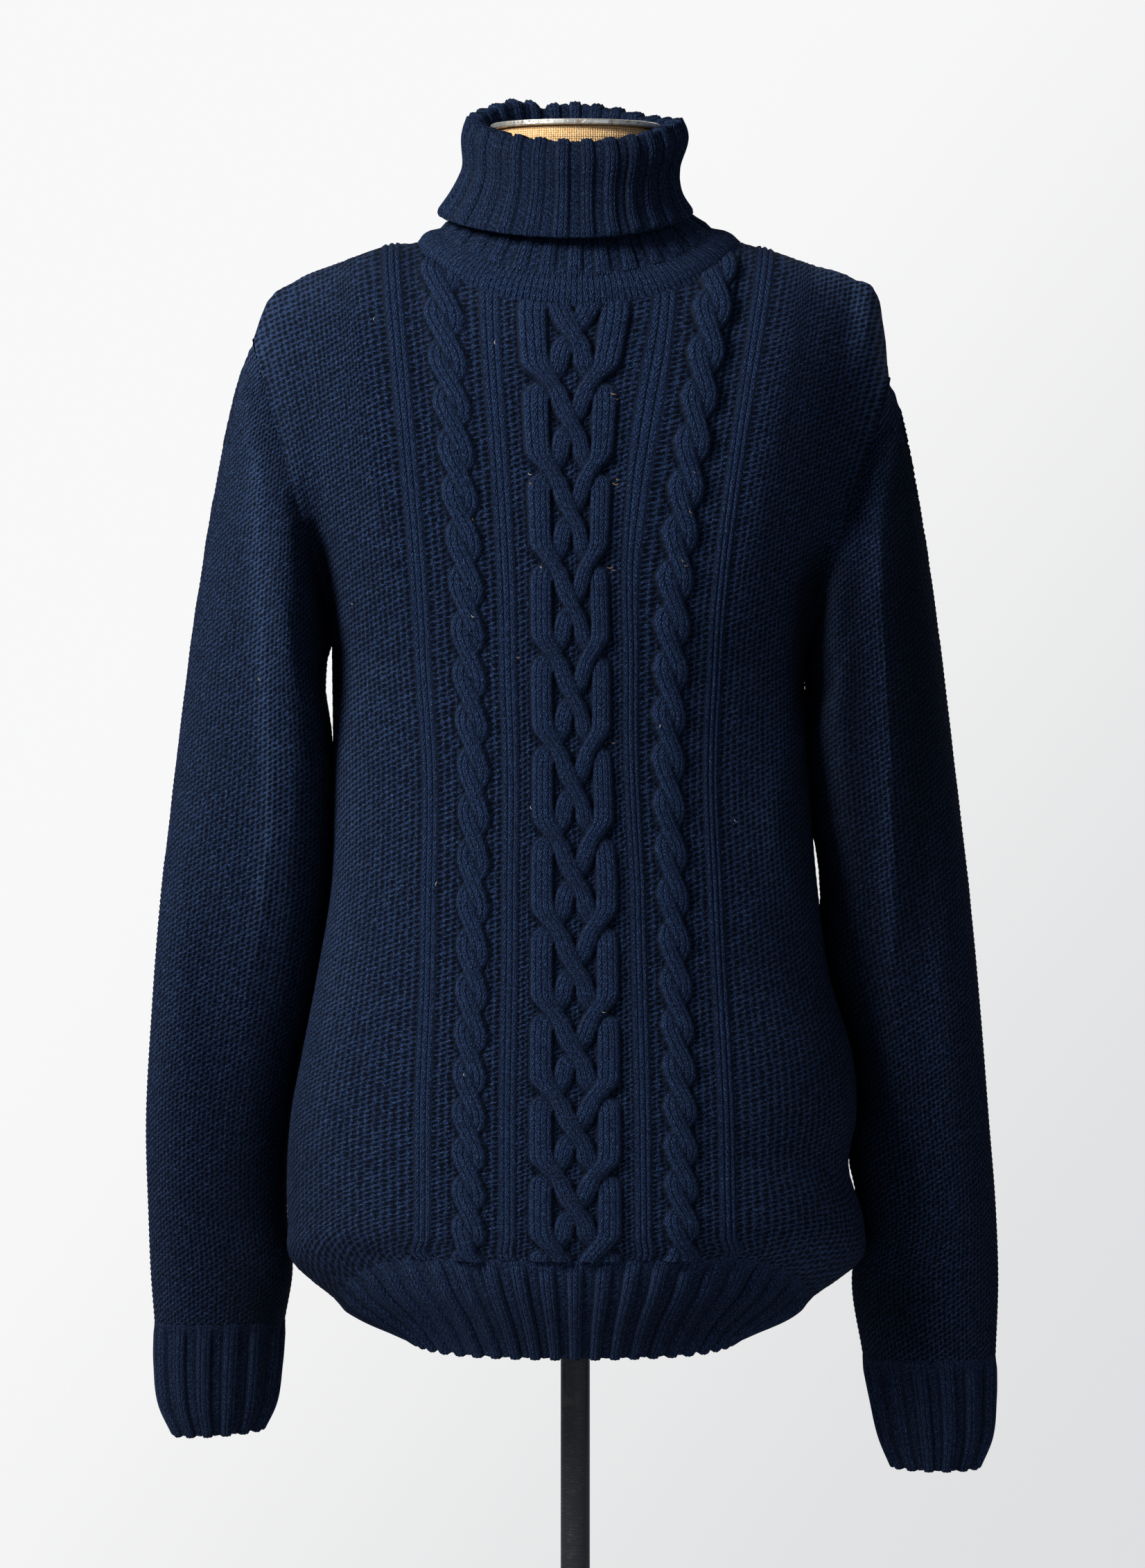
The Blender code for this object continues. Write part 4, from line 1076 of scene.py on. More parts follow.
off_row = calc("DIVIDE", beside, half_hole)
hole = calc("SUBTRACT", 1.0, calc("MULTIPLY_ADD", off_row, off_row, calc(
    "MULTIPLY", off_middle, off_middle)), clamp=True)
hole = calc("POWER", hole, HOLE_STEEP)
bar = calc("COSINE", calc("MULTIPLY", beside, 2 * math.pi))
bar = calc("MULTIPLY_ADD", -0.5, bar, 0.5, clamp=True)
ridge = calc("MULTIPLY_ADD", calc("POWER", bar, 0.6), 1 - RIDGE_LOW, RIDGE_LOW)
purl_height = calc("MULTIPLY", ridge, calc("SUBTRACT", 1.0, hole, clamp=True))
print("purl stitches:", len(stitches.nodes), "nodes so far")

# %% Put out the heights and the painted shade in the gaps
GAP_SHADE_BELOW = 0.45           # a purl row gets painted shade where its bar is lower than this
# The gaps between the legs of knit and the holes and troughs of purl get painted shade.
knit_gap_shade = calc("SUBTRACT", 1.0, calc("MULTIPLY", knit_height, 1.5), clamp=True)
purl_gap_shade = calc("MAXIMUM", hole, calc("MULTIPLY", calc(
    "SUBTRACT", GAP_SHADE_BELOW, bar, clamp=True), 0.45))
for label, purl, knit in (("Height", purl_height, knit_height), ("Gap_shade", purl_gap_shade, knit_gap_shade)):
    mixed = mix_numbers(stitches, inside.outputs["Knit"], purl, knit)
    stitches.links.new(mixed, outside.inputs[label])
print("stitches:", len(stitches.nodes), "nodes")

# %% [markdown]
# ## Navy wool
# Light and dark fibres were spun together, and one flat colour would look like plastic, so
# noise much finer than a stitch picks specks of both. The material then paints shade into the
# colour of what lies deep between two stitches or cables, where little light comes, and paints
# highlights and more shade into it along the creases.

# %% Heather the colour
heather, inside, outside = group_of(
    "heather", [("Color", "NodeSocketColor", (0.0080, 0.0204, 0.0665, 1)),
                ("Light", "NodeSocketColor", (0.081, 0.147, 0.318, 1)),
                ("Dark", "NodeSocketColor", (0.003, 0.006, 0.016, 1))],
    [("Color", "NodeSocketColor"), ("Fibre", "NodeSocketFloat")])
place = heather.nodes.new("ShaderNodeTexCoord").outputs["Object"]
fine = noise(heather, place, 1300.0, 3.0, 0.75)
patch = noise(heather, place, 700.0, 2.0, 0.6)
lighter = mix_colors(heather, between(heather, fine, 0.49, 0.66), inside.outputs["Color"],
                     inside.outputs["Light"])
darker = math_node(heather, "MAXIMUM", between(heather, fine, 0.48, 0.36),
                   between(heather, patch, 0.46, 0.30))
mottled = mix_colors(heather, math_node(heather, "MULTIPLY", darker, 0.75), lighter,
                     inside.outputs["Dark"])
heather.links.new(mottled, outside.inputs["Color"])
heather.links.new(fine, outside.inputs["Fibre"])
print("heather:", len(heather.nodes), "nodes")

# %% Make the wool
# Colours for painted light: a near-black painted shade and a lighter blue painted highlight.
DEEP_SHADE = (0.0006, 0.0010, 0.0026, 1)
PAINTED_HIGHLIGHT = (0.110, 0.195, 0.420, 1)
PAINTED_HIGHLIGHT_MOST = 0.9         # how far a painted highlight on a crease goes from the yarn's own colour to that
HOLLOW_SHADE = 1.6          # how fast painted shade darkens the wool between its neighbours
FIBRE_BUMP = 1.1           # the height of the fibres, against that of a stitch
STITCH_BUMP = 0.0018
wool, tree, skin = new_material("navy_wool_knit", {
    "Roughness": 0.88, "Specular IOR Level": 0.03, "Sheen Weight": 0.04,
    "Sheen Roughness": 0.45, "Sheen Tint": (0.45, 0.60, 0.95, 1)})
calc = partial(math_node, tree)
stitch_map = tree.nodes.new("ShaderNodeUVMap")
stitch_map.uv_map = "stitch"
marks = tree.nodes.new("ShaderNodeAttribute")
marks.attribute_name = "knit"
marks_parts = tree.nodes.new("ShaderNodeSeparateColor")
tree.links.new(marks.outputs["Color"], marks_parts.inputs[0])
is_knit, hollow, painted_light_mark = marks_parts.outputs[:3]
drawn, yarn = place_group(tree, stitches), place_group(tree, heather)
tree.links.new(stitch_map.outputs[0], drawn.inputs["Stitch"])
tree.links.new(is_knit, drawn.inputs["Knit"])
tone = calc("MULTIPLY_ADD", painted_light_mark, 2.0, -1.0)
highlighted = mix_colors(tree, calc("MULTIPLY", tone, PAINTED_HIGHLIGHT_MOST, clamp=True),
                     yarn.outputs["Color"], PAINTED_HIGHLIGHT)
in_gap_shade = mix_colors(tree, drawn.outputs["Gap_shade"], highlighted, DEEP_SHADE)
# Painted shade: the colour goes towards near black in the hollows between neighbours and where a
# crease paints shade.
sunk = calc("MULTIPLY", calc("SUBTRACT", hollow, 0.5), HOLLOW_SHADE, clamp=True)
sunk = calc("MAXIMUM", sunk, calc("MULTIPLY", tone, -1.0))
tree.links.new(mix_colors(tree, sunk, in_gap_shade, DEEP_SHADE), skin.inputs["Base Color"])
raise_bump(tree, calc("MULTIPLY_ADD", yarn.outputs["Fibre"], FIBRE_BUMP,
                      drawn.outputs["Height"]), STITCH_BUMP, skin)
print("wool:", wool.name)

# %% [markdown]
# ## From heights to a mesh
# The heights push each point out along the direction of the cloth. Three things are kept for
# the material: a UV map that counts stitches, a mark for knit or purl, and how deep a point
# lies between its neighbours, for painted shade, because wool between two cables gets little
# light. Besides these, the creases' painted highlight and shade go with them.

# %% Make one mesh of knit
BAKE_MARGIN = 0.01         # a mesh's own map leaves this share free at its edges


def bake_map(across, along):
    """The places of points on their mesh's own map, from 0 to 1 each way, with a margin."""
    own = np.stack([across, along], axis=-1).reshape(-1, 2)
    return own * (1 - 2 * BAKE_MARGIN) + BAKE_MARGIN


def knit_mesh(name, points, faces, normals, stitch, marks_rgb, bake):
    """One mesh object with its stitch coordinates and colour marks."""
    used = np.unique(np.array([v for f in faces for v in f]))
    new = np.full(len(points), -1)
    new[used] = np.arange(len(used))
    mesh = bpy.data.meshes.new(name)
    mesh.from_pydata(points[used].tolist(), [], [tuple(new[list(f)]) for f in faces])
    corner = np.empty(len(mesh.loops), np.int32)
    mesh.loops.foreach_get("vertex_index", corner)
    for label, values in (("OFBake", bake[used]), ("stitch", stitch[used])):
        layer = mesh.uv_layers.new(name=label)
        layer.data.foreach_set("uv", values[corner].astype(np.float32).ravel())
    marks = mesh.attributes.new("knit", "FLOAT_COLOR", "POINT")
    color = np.ones((len(used), 4), np.float32)
    color[:, :3] = marks_rgb[used]
    marks.data.foreach_set("color", color.ravel())
    mesh.shade_smooth()
    mesh.normals_split_custom_set_from_vertices(normals[used].tolist())
    mesh.materials.append(wool)
    made = bpy.data.objects.new(name, mesh)
    bpy.context.scene.collection.objects.link(made)
    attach(made, "root")
    print(f"{name}: {sum(len(f) - 2 for f in faces)} triangles")
    return made


print("knit is made of", wool.name)

# %% Turn an edge in
EDGE_TURN = 0.0028         # thickness of the knit at an edge
# How far in behind the sheet and how far up each row of the turned edge lies, in thicknesses.
EDGE_ROWS = [(1.0, 6.0), (1.0, 3.0), (1.0, 0.4), (0.62, -0.4), (0.18, -0.5)]


def add_turned_edge(sheet, relief, points, normals):
    """The sheet with rows added from its lower edge in behind it and up again."""
    up = points[2] - points[0]
    up = up / np.maximum(np.linalg.norm(up, axis=-1, keepdims=True), 1e-9)
    added = np.array([points[0] - normals[0] * EDGE_TURN * inward + up * EDGE_TURN * high
                      for inward, high in EDGE_ROWS])
    count = len(EDGE_ROWS)
    grown = [np.concatenate([np.repeat(values[:1], count, axis=0), values])
             for values in (sheet.across, sheet.courses) + tuple(relief)]
    grown[1][:count] -= np.arange(count, 0, -1)[:, None]
    index = np.concatenate([np.arange(count * sheet.index.shape[1]).reshape(count, -1),
                            sheet.index + count * sheet.index.shape[1]])
    points = np.concatenate([added, points]).reshape(-1, 3)
    return Sheet(points, index, grown[0], grown[1]), Relief(*grown[2:]), points


print(f"a turned edge: {1000 * EDGE_TURN:.1f} mm thick")

# %% Knit a sheet
HOLLOW_REACH = 3           # how many points away a point's neighbours lie
HOLLOW_DEPTH = 0.004       # from the tops that get all light to the hollows that get none


def blurred(values, reach, wraps=False):
    """Values averaged over a square of neighbours."""
    for axis in (0, 1):
        pad = [(0, 0), (0, 0)]
        pad[axis] = (reach, reach)
        mode = "wrap" if wraps and axis == 1 else "edge"
        summed = np.cumsum(np.pad(values, pad, mode=mode), axis=axis)
        size = values.shape[axis]
        high = np.take(summed, range(2 * reach, size + 2 * reach), axis=axis)
        low = np.take(summed, range(0, size), axis=axis)
        values = (high - low) / (2 * reach)
    return values


def knit_sheet(sheet, relief, parts, wraps=False, turned=False):
    """Objects for a sheet of knit, cut into named parts at places across."""
    shape = sheet.points.shape[:2]
    flat = sheet.points.reshape(-1, 3)
    faces = faces_of(sheet.index, wraps)
    flat = creased(flat, point_normals(flat, faces))
    normals = point_normals(flat, faces)
    points = flat + normals * relief.height.reshape(-1, 1)
    if turned:
        sheet, relief, points = add_turned_edge(sheet, relief, points.reshape(*shape, 3),
                                                normals.reshape(*shape, 3))
        faces = faces_of(sheet.index, wraps)
    sunk = blurred(relief.height, HOLLOW_REACH, wraps) - relief.height
    hollow = np.clip(0.5 + sunk / HOLLOW_DEPTH, 0, 1).reshape(-1)
    shade = point_normals(points, faces)
    stitch = np.stack([relief.stitch_u, sheet.courses], axis=-1).reshape(-1, 2)
    bake = bake_map(*((place - place.min()) / np.ptp(place)
                      for place in (sheet.across, sheet.courses)))
    marks_rgb = np.stack([relief.knit.reshape(-1), hollow, crease_painted_light(points, shade)], axis=-1)
    place = sheet.across.reshape(-1)
    middle = np.array([place[list(f)].mean() for f in faces])
    made = []
    for name, (low, high) in parts.items():
        own = [f for f, m in zip(faces, middle) if low <= m < high]
        made.append(knit_mesh(name, points, own, shade, stitch, marks_rgb, bake))
    return made


print(f"dark from {500 * HOLLOW_DEPTH:.1f} mm deep")

# %% [markdown]
# ## The front
# The front is the piece that sells such a sweater. Its points lie three to a stitch across the
# cables and wider apart at the sides. It is cut into three objects along the quiet purl
# grounds, which keeps each mesh light.

# %% Knit the front
SPARSE = 0.0022            # between the points of the plain purl
BANDS_END = 0.1020         # from the middle line to the end of the last cable band
FRONT_STEP = 0.4           # rows from one row of points to the next
SPLIT = 0.0345             # from the middle line to where the front is cut


def places_across(fine, coarse, inner):
    """Places from side seam to side seam, fine in the middle and coarse outside."""
    middle = np.linspace(0, inner, int(round(inner / fine)) + 1)
    outer = np.linspace(inner, HALF_FLAT, int(round((HALF_FLAT - inner) / coarse)) + 1)[1:]
    half = np.concatenate([middle, outer])
    return np.concatenate([-half[::-1], half[1:]])


across = places_across(WALE / 3, SPARSE, BANDS_END)
curves, numbers = body_columns(across, -1)
rows = row_numbers(numbers, FRONT_STEP)
front_sheet = lay_rows(curves, numbers, across, rows)
middle = len(across) // 2
crossing = float(np.interp(CROSSING_Z, curves[:, middle, 2], numbers[:, middle]))
print(f"front: {rows[-1]:.0f} rows, a crossing at row {crossing:.1f}")
relief = front_relief(front_sheet.across, front_sheet.courses, crossing)
front_parts = knit_sheet(front_sheet, relief, {
    "front_middle": (-SPLIT, SPLIT), "front_left": (-1, -SPLIT), "front_right": (SPLIT, 1)})
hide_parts("front_body")

# %% [markdown]
# ## The back
# The back is all purl here, so its points lie evenly and further apart than the front's, and
# one object holds it.

# %% Knit the back
across = places_across(SPARSE, SPARSE, 0.1)[::-1]
curves, numbers = body_columns(across, 1)
back_sheet = lay_rows(curves, numbers, across, row_numbers(numbers))
relief = purl_ground(body_wales(back_sheet.across), back_sheet.courses)
back_parts = knit_sheet(back_sheet, relief, {"back": (-1, 1)})
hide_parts("back_body")

# %% [markdown]
# ## The hem rib
# The rib is knitted on fewer stitches, so it draws the body in and the cloth above rolls over
# it. Three knit wales and two or three purl ones repeat all round. At the bottom edge the
# cast-on row turns in. A few rows go up again inside, so that the edge shows its thickness.

# %% Rib a band of cloth
BAND_SQUARE = 3.0          # 2 makes a rib's back round, and more a flatter one
BAND_GROOVE = 1.3          # its grooves, against those of a cable
RIB_LINE = 0.0009          # how deep the thin line beside each rib is
RIB_LINE_WIDTH = 0.035     # and how wide, as a share of the way from one rib to the next
PURL_IN_RIBS = 0.55        # the share of knit in the look of the narrow purl between ribs
TUCK_DEPTH = 0.0022        # how far a rib's top sinks behind the knitting above
TUCK_ROWS = (-0.2, 0.6)    # from which row to which, counted from there
FADE_ROWS = 3.0            # over how many rows the ribs grow flat below it
TOP_RELIEF = 0.15          # the share of its height that a rib keeps there


def ribbed(courses, pitch_count, rise=0.0034, share=0.60):
    """Ribs of three knit wales. pitch_count is each point's place counted in ribs."""
    aside = (pitch_count + 0.5) % 1.0 - 0.5
    wale = aside / share * 3
    inside = np.abs(aside) < share / 2
    groove = STITCH_DIP * BAND_GROOVE * (np.cos(2 * math.pi * wale) - 1) / 2
    purl_wale = pitch_count * 2 / (1 - share)
    ground = purl_ground(purl_wale, courses).height
    height = rounded(aside, share / 2, rise, BAND_SQUARE) + groove
    line = RIB_LINE * np.exp(-((np.abs(aside) - share / 2) / RIB_LINE_WIDTH)**2)
    return Relief(np.where(inside, np.maximum(height, ground), ground) - line,
                  np.where(inside, 1.0, PURL_IN_RIBS),
                  np.where(inside, wale, purl_wale), np.zeros_like(height))


def sunk_top(relief, courses, top, sunk=0.0):
    """A rib's relief, sunk, and let down where it goes behind the knitting above."""
    below = smooth_step(top, top - FADE_ROWS, courses)
    tucked = smooth_step(top + TUCK_ROWS[0], top + TUCK_ROWS[1], courses)
    height = relief.height * (TOP_RELIEF + (1 - TOP_RELIEF) * below) * (1 - tucked)
    return relief._replace(height=height - TUCK_DEPTH * tucked - sunk * below)


print(f"ribs fade over {1000 * FADE_ROWS * COURSE:.0f} mm")

# %% Knit the hem rib
HEM_RIBS = 50
HEM_TUCK = 0.005           # how far the rib reaches up behind the body, so no slit shows
HEM_COLUMNS, HEM_ROWS = 361, 66
HEM_POINTS = 400           # in a dense line along the rib's top


def quarter_share(across, depth):
    """How far round each half's quarter a column is, by length along the rib's top."""
    dense = np.linspace(0, HALF_FLAT, HEM_POINTS)
    shares = {}
    for side in (-1, 1):
        length = lengths_along(lower_body(side * dense, np.array([RIB_TOP_Z]), depth)[0])
        shares[side] = length / length[-1]
    return np.where(across < 0, -np.interp(-across, dense, shares[-1]),
                    np.interp(across, dense, shares[1]))


def hem_panel(name, depth):
    """Half of the hem rib."""
    across = np.linspace(-HALF_FLAT, HALF_FLAT, HEM_COLUMNS)
    across = across if depth < 0 else across[::-1]
    z = np.linspace(BODY_RINGS[0].z, RIB_TOP_Z + HEM_TUCK, HEM_ROWS)
    curves = lower_body(across, z, depth)
    middle = course_numbers(lower_body(np.array([0.0]), z, -1))
    numbers = np.repeat(middle, len(across), axis=1)
    sheet = lay_rows(curves, numbers, across, row_numbers(numbers))
    ribs = quarter_share(sheet.across, depth) * HEM_RIBS / 4
    if depth > 0:
        ribs = ribs + 0.5 * (HEM_RIBS // 2 % 2)
    relief = sunk_top(ribbed(sheet.courses, ribs), sheet.courses,
                      np.interp(RIB_TOP_Z, z, middle[:, 0]))
    made = knit_sheet(sheet, relief, {f"hem_{name}": (-1, 1)}, turned=True)
    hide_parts(f"{name}_hem_rib")
    return made[0]


hem_front, hem_back = hem_panel("front", -1), hem_panel("back", 1)

# %% [markdown]
# ## Sleeves
# A sleeve is a tube of the same purl ground. Its courses run square to the arm, so they are
# counted from the cuff upwards, and each column of stitches simply stops where it meets the
# armhole. That is how a knitter shapes a sleeve's head too.

# %% Find points of a sleeve
SEAM_POINTS, RING_POINTS = 201, 721    # in a dense armhole seam, and a dense ring


def armhole_edge(side, turn):
    """Points of the armhole seam. turn goes from the underarm over the front to the back."""
    edge = np.array([side * HALF_FLAT])
    steps = np.linspace(0, 1, SEAM_POINTS)
    front, back = yoke(edge, steps, -1)[:, 0], yoke(edge, steps, 1)[:, 0]
    t = np.where(turn <= math.pi, turn / math.pi, 2 - turn / math.pi)
    return np.where((turn <= math.pi)[:, None], points_at(t, steps, front),
                    points_at(t, steps, back))


def sleeve_ring(row, side, turn):
    """Points of one ring of a sleeve."""
    middle_y, half_depth = (row.back - row.front) / 2, (row.back + row.front) / 2
    inner = np.array([side * row.inner, middle_y, row.inner_z])
    outer = np.array([side * row.outer, middle_y, row.outer_z])
    forward = half_depth * np.sign(np.sin(turn)) * np.abs(np.sin(turn))**row.edge
    points = (inner + outer) / 2 - (outer - inner) / 2 * np.cos(turn)[:, None]
    points[:, 1] -= forward
    return points


def even_turns(row, side, count):
    """Turns that divide a ring into equal lengths, and go round alike on both sides."""
    dense = np.linspace(0, 2 * math.pi, RING_POINTS)
    length = lengths_along(sleeve_ring(row, side, dense))
    turn = np.interp(np.linspace(0, length[-1], count, endpoint=False), length, dense)
    return turn[::-1] if side < 0 else turn


elbow = sleeve_ring(ARMS[-1][5], -1, np.linspace(0, 2 * math.pi, 5))
print(f"left elbow: {1000 * np.ptp(elbow[:, 0]):.0f} mm wide")

# %% Knit a sleeve
SLEEVE_WALES = 88
POINTS_PER_WALE = 1.7
HEAD_START, HEAD_FULL = 5, 3   # the wales turn straight from one ring to the other
SLEEVE_POINTS = 400        # in a dense curve up the sleeve
OUTER_RELIEF = 0.7         # how much further the bumps stand out at the outer edge
OUTER_EDGE = (0.70, 0.97)  # and where that is, from 1 at the edge to -1 at the inner side


def straight_wales(points, side, rows, turn):
    """Wales that run straight down the sleeve, found from how far across it a point lies."""
    z = points[..., 2]
    inner = np.interp(z, *np.array([(row.inner_z, row.inner) for row in rows])[::-1].T)
    outer = np.interp(z, *np.array([(row.outer_z, row.outer) for row in rows])[::-1].T)
    from_inner = np.clip((side * points[..., 0] - inner) / (outer - inner), 0, 1)
    angle = np.arccos(1 - 2 * from_inner)
    angle = np.where(turn <= math.pi, angle, 2 * math.pi - angle)
    order = np.argsort(turn)
    counted = np.arange(len(turn))[order] * (SLEEVE_WALES / len(turn))
    return np.interp(angle, turn[order], counted)


def sleeve_part(name, side):
    """A sleeve from its cuff up to the armhole."""
    rows = ARMS[side][:CUFF_TOP + 1]
    turn = even_turns(rows[4], side, int(SLEEVE_WALES * POINTS_PER_WALE))
    rings = [armhole_edge(side, turn)] + [sleeve_ring(row, side, turn) for row in rows]
    curves = along_rings(rings, SLEEVE_POINTS)[::-1]
    numbers = course_numbers(curves)
    across = np.linspace(0, SLEEVE_WALES * WALE, len(turn), endpoint=False)
    sheet = lay_rows(curves, numbers, across, row_numbers(numbers))
    straight = straight_wales(sheet.points, side, rows, turn)
    head = smooth_step(rows[HEAD_START].inner_z, rows[HEAD_FULL].inner_z, sheet.points[..., 2])
    wales = sheet.across / WALE * (1 - head) + straight * head
    relief = purl_ground(wales, sheet.courses)
    outer = smooth_step(*OUTER_EDGE, -np.cos(turn))[None, :]
    relief = relief._replace(height=relief.height * (1 + OUTER_RELIEF * outer))
    made = knit_sheet(sheet, relief, {f"{name}_sleeve": (-1, 1)}, wraps=True)
    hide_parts(f"sleeve_{name}")
    return made[0]


left_sleeve, right_sleeve = (sleeve_part(name, side) for name, side in SIDES)

# %% [markdown]
# ## Cuffs
# A cuff goes on from the sleeve's last row, in ribs that hold it round the wrist. It is made
# like the hem rib, as a tube that starts a little way up behind the sleeve, so no slit shows.

# %% Knit a cuff
RIB_PITCH = 5              # wales from one rib to the next, three knit and two purl
CUFF_RIBS = 14
CUFF_TUCK = 0.11           # how far up behind the sleeve, as a share of its last stretch
CUFF_SUNK = 0.0019         # how far the cuff lies inside its rings
CUFF_POINTS = 80           # in a dense curve up the cuff
POINTS_PER_RIB = 16


def cuff_part(name, side):
    """A cuff from its edge up to the sleeve and a little further, behind the sleeve."""
    rows = ARMS[side][CUFF_TOP - 1:]
    turn = even_turns(rows[2], side, CUFF_RIBS * POINTS_PER_RIB)
    rings = [sleeve_ring(row, side, turn) for row in rows]
    seam_z = rings[1][:, 2].mean()
    rings[0] = rings[1] + (rings[0] - rings[1]) * CUFF_TUCK
    curves = along_rings(rings, CUFF_POINTS)[::-1]
    numbers = course_numbers(curves)
    middle = numbers.mean(axis=1, keepdims=True)
    seam = np.interp(seam_z, curves[..., 2].mean(axis=1), middle[:, 0])
    numbers = np.repeat(middle, len(turn), axis=1)
    across = np.linspace(0, CUFF_RIBS * RIB_PITCH * WALE, len(turn), endpoint=False)
    sheet = lay_rows(curves, numbers, across, row_numbers(numbers))
    relief = sunk_top(ribbed(sheet.courses, sheet.across / (RIB_PITCH * WALE)),
                      sheet.courses, seam, CUFF_SUNK)
    made = knit_sheet(sheet, relief, {f"{name}_cuff": (-1, 1)}, wraps=True, turned=True)
    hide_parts(f"cuff_{name}")
    return made[0]


left_cuff, right_cuff = (cuff_part(name, side) for name, side in SIDES)

# %% [markdown]
# ## The armhole seams
# The sleeves are linked to the body with a chain of stitches, a thin round line in the fold. A
# bevelled curve could follow the armhole, but a mesh tube also takes the wool's stitches.

# %% Link the armholes
SEAM_RADIUS = 0.0011
SEAM_SUNK = 1.2            # how far in between body and sleeve it lies, in radii
SEAM_STEPS, SEAM_SIDES = 220, 8
SEAM_ROWS = 0.7            # rows of stitches from one step to the next
SEAM_MARKS = [1.0, 0.62, 0.42]   # knit, a little hollow and a little dark: both are painted shade in the fold


def armhole_seam(name, side):
    """A round seam that follows the armhole, a little sunk between body and sleeve."""
    turn = np.linspace(0, 2 * math.pi, SEAM_STEPS, endpoint=False)
    line = armhole_edge(side, turn)
    outward = line - line.mean(axis=0)
    outward[:, 0] = 0.0
    outward /= np.linalg.norm(outward, axis=1, keepdims=True)
    line = creased(line, outward) - outward * SEAM_RADIUS * SEAM_SUNK
    across = np.array([side, 0.0, 0.0])
    ring = np.linspace(0, 2 * math.pi, SEAM_SIDES, endpoint=False)
    normals = (np.cos(ring)[None, :, None] * outward[:, None, :]
               + np.sin(ring)[None, :, None] * across)
    points = (line[:, None, :] + SEAM_RADIUS * normals).reshape(-1, 3)
    index = np.arange(len(points)).reshape(SEAM_STEPS, SEAM_SIDES)
    faces = faces_of(np.concatenate([index, index[:1]]), wraps=True)
    around = np.tile(np.arange(SEAM_SIDES) / SEAM_SIDES, SEAM_STEPS)
    step = np.repeat(np.arange(SEAM_STEPS), SEAM_SIDES)
    stitch = np.stack([around * 2, step * SEAM_ROWS], axis=-1)
    marks = np.tile(SEAM_MARKS, (len(points), 1))
    bake = bake_map(around, step / SEAM_STEPS)
    return knit_mesh(name, points, faces, normals.reshape(-1, 3), stitch, marks, bake)


for name, side in SIDES:
    armhole_seam(f"{name}_armhole_seam", side)

# %% [markdown]
# ## The neck
# The neck starts with a narrow band of fine knit that is linked to the body stitch by stitch.
# A ribbed tube rises from it, and its upper half is turned down over the lower. The tube is
# one sheet that is seen from both sides, so here it gets both: one layer goes up inside the
# neck, over the rim and down to the edge, turns there, and comes back inside the fold.

# %% Knit the neckband
NECK_COLUMNS = 420
NECK_POINTS = 240          # in a dense curve along one column
BAND_WALES = 156
BAND_RISE = 0.0012         # the band's middle above its edges
BAND_RIDGE = 0.0004        # its wales above and below that
BAND_EDGE = 1.6            # rows from its edge to its full rise


def neck_rings(rows, turn):
    """Dense curves through neck rings, one for each turn."""
    return along_rings([neck_ring(row, turn) for row in rows], NECK_POINTS)


turn = np.linspace(-math.pi, math.pi, NECK_COLUMNS, endpoint=False)
curves = neck_rings(NECK_RINGS[:NECKBAND_TOP + 1], turn)
numbers = course_numbers(curves)
numbers = np.repeat(numbers.mean(axis=1, keepdims=True), NECK_COLUMNS, axis=1)
around = np.linspace(0, BAND_WALES * WALE, NECK_COLUMNS, endpoint=False)
band_sheet = lay_rows(curves, numbers, around, row_numbers(numbers))
wale = band_sheet.across / WALE
edge = np.minimum(band_sheet.courses, numbers.max() - band_sheet.courses)
height = BAND_RISE * smooth_step(0.0, BAND_EDGE, edge) + BAND_RIDGE * np.cos(2 * math.pi * wale)
band_relief = Relief(height, np.ones_like(wale), wale, np.zeros_like(wale))
neckband = knit_sheet(band_sheet, band_relief, {"neck_band": (-1, 1)}, wraps=True)[0]
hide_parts("neckband")

# %% Follow the collar's wall
COLLAR_WALL = 0.0030
fold_side = neck_rings(NECK_RINGS[NECKBAND_TOP:], turn)
around_step = np.roll(fold_side, -1, axis=1) - np.roll(fold_side, 1, axis=1)
along_step = np.gradient(fold_side, axis=0)
fold_normal = np.cross(around_step, along_step)
fold_normal /= np.linalg.norm(fold_normal, axis=2, keepdims=True)
seen_side = fold_side - fold_normal * COLLAR_WALL
length = course_numbers(fold_side).mean(axis=1) * COURSE
top = int(np.argmax(fold_side[:, 0, 2]))
print(f"collar: {length[-1] * 1000:.0f} mm long, folded at {length[top] * 1000:.0f} mm")


def at_lengths(surface, wanted):
    """Points of all columns at these lengths along the collar."""
    return np.stack([points_at(wanted, length, surface[:, c]) for c in range(NECK_COLUMNS)],
                    axis=1)


# %% Lay the collar's rows
NECK_RIBS = 29
HIDDEN_STEP = 0.004        # between rows that nobody sees, inside the fold and the neck
FINE_BEFORE_RIM = 0.012    # the seen layer has fine rows from this far before the rim
STAND_SEEN = 0.62          # up to this share of its height the stand shows below the fold
EDGE_STEP = 0.0006         # the two rows round the edge count as this much longer
half_row = COURSE / 2
rim = length[top]
stand_seen = rim * STAND_SEEN
fine_from = rim - FINE_BEFORE_RIM
seen_rows = np.concatenate([np.arange(0, fine_from, HIDDEN_STEP),
                            np.arange(fine_from, length[-1], half_row)])
inner_rows = np.concatenate([np.arange(length[-1], stand_seen, -HIDDEN_STEP),
                             np.arange(stand_seen, half_row, -half_row), [0.0]])
round_edge = [at_lengths((seen_side * 2 + fold_side) / 3, length[-1:]),
              at_lengths((seen_side + fold_side * 2) / 3, length[-1:])]
points = np.concatenate([at_lengths(seen_side, seen_rows), *round_edge,
                         at_lengths(fold_side, inner_rows)])
lengths = np.concatenate([seen_rows, np.repeat(length[-1] + EDGE_STEP, 2), inner_rows])
layer = np.concatenate([np.zeros(len(seen_rows) + 1), np.ones(len(inner_rows) + 1)])
shape = points.shape[:2]
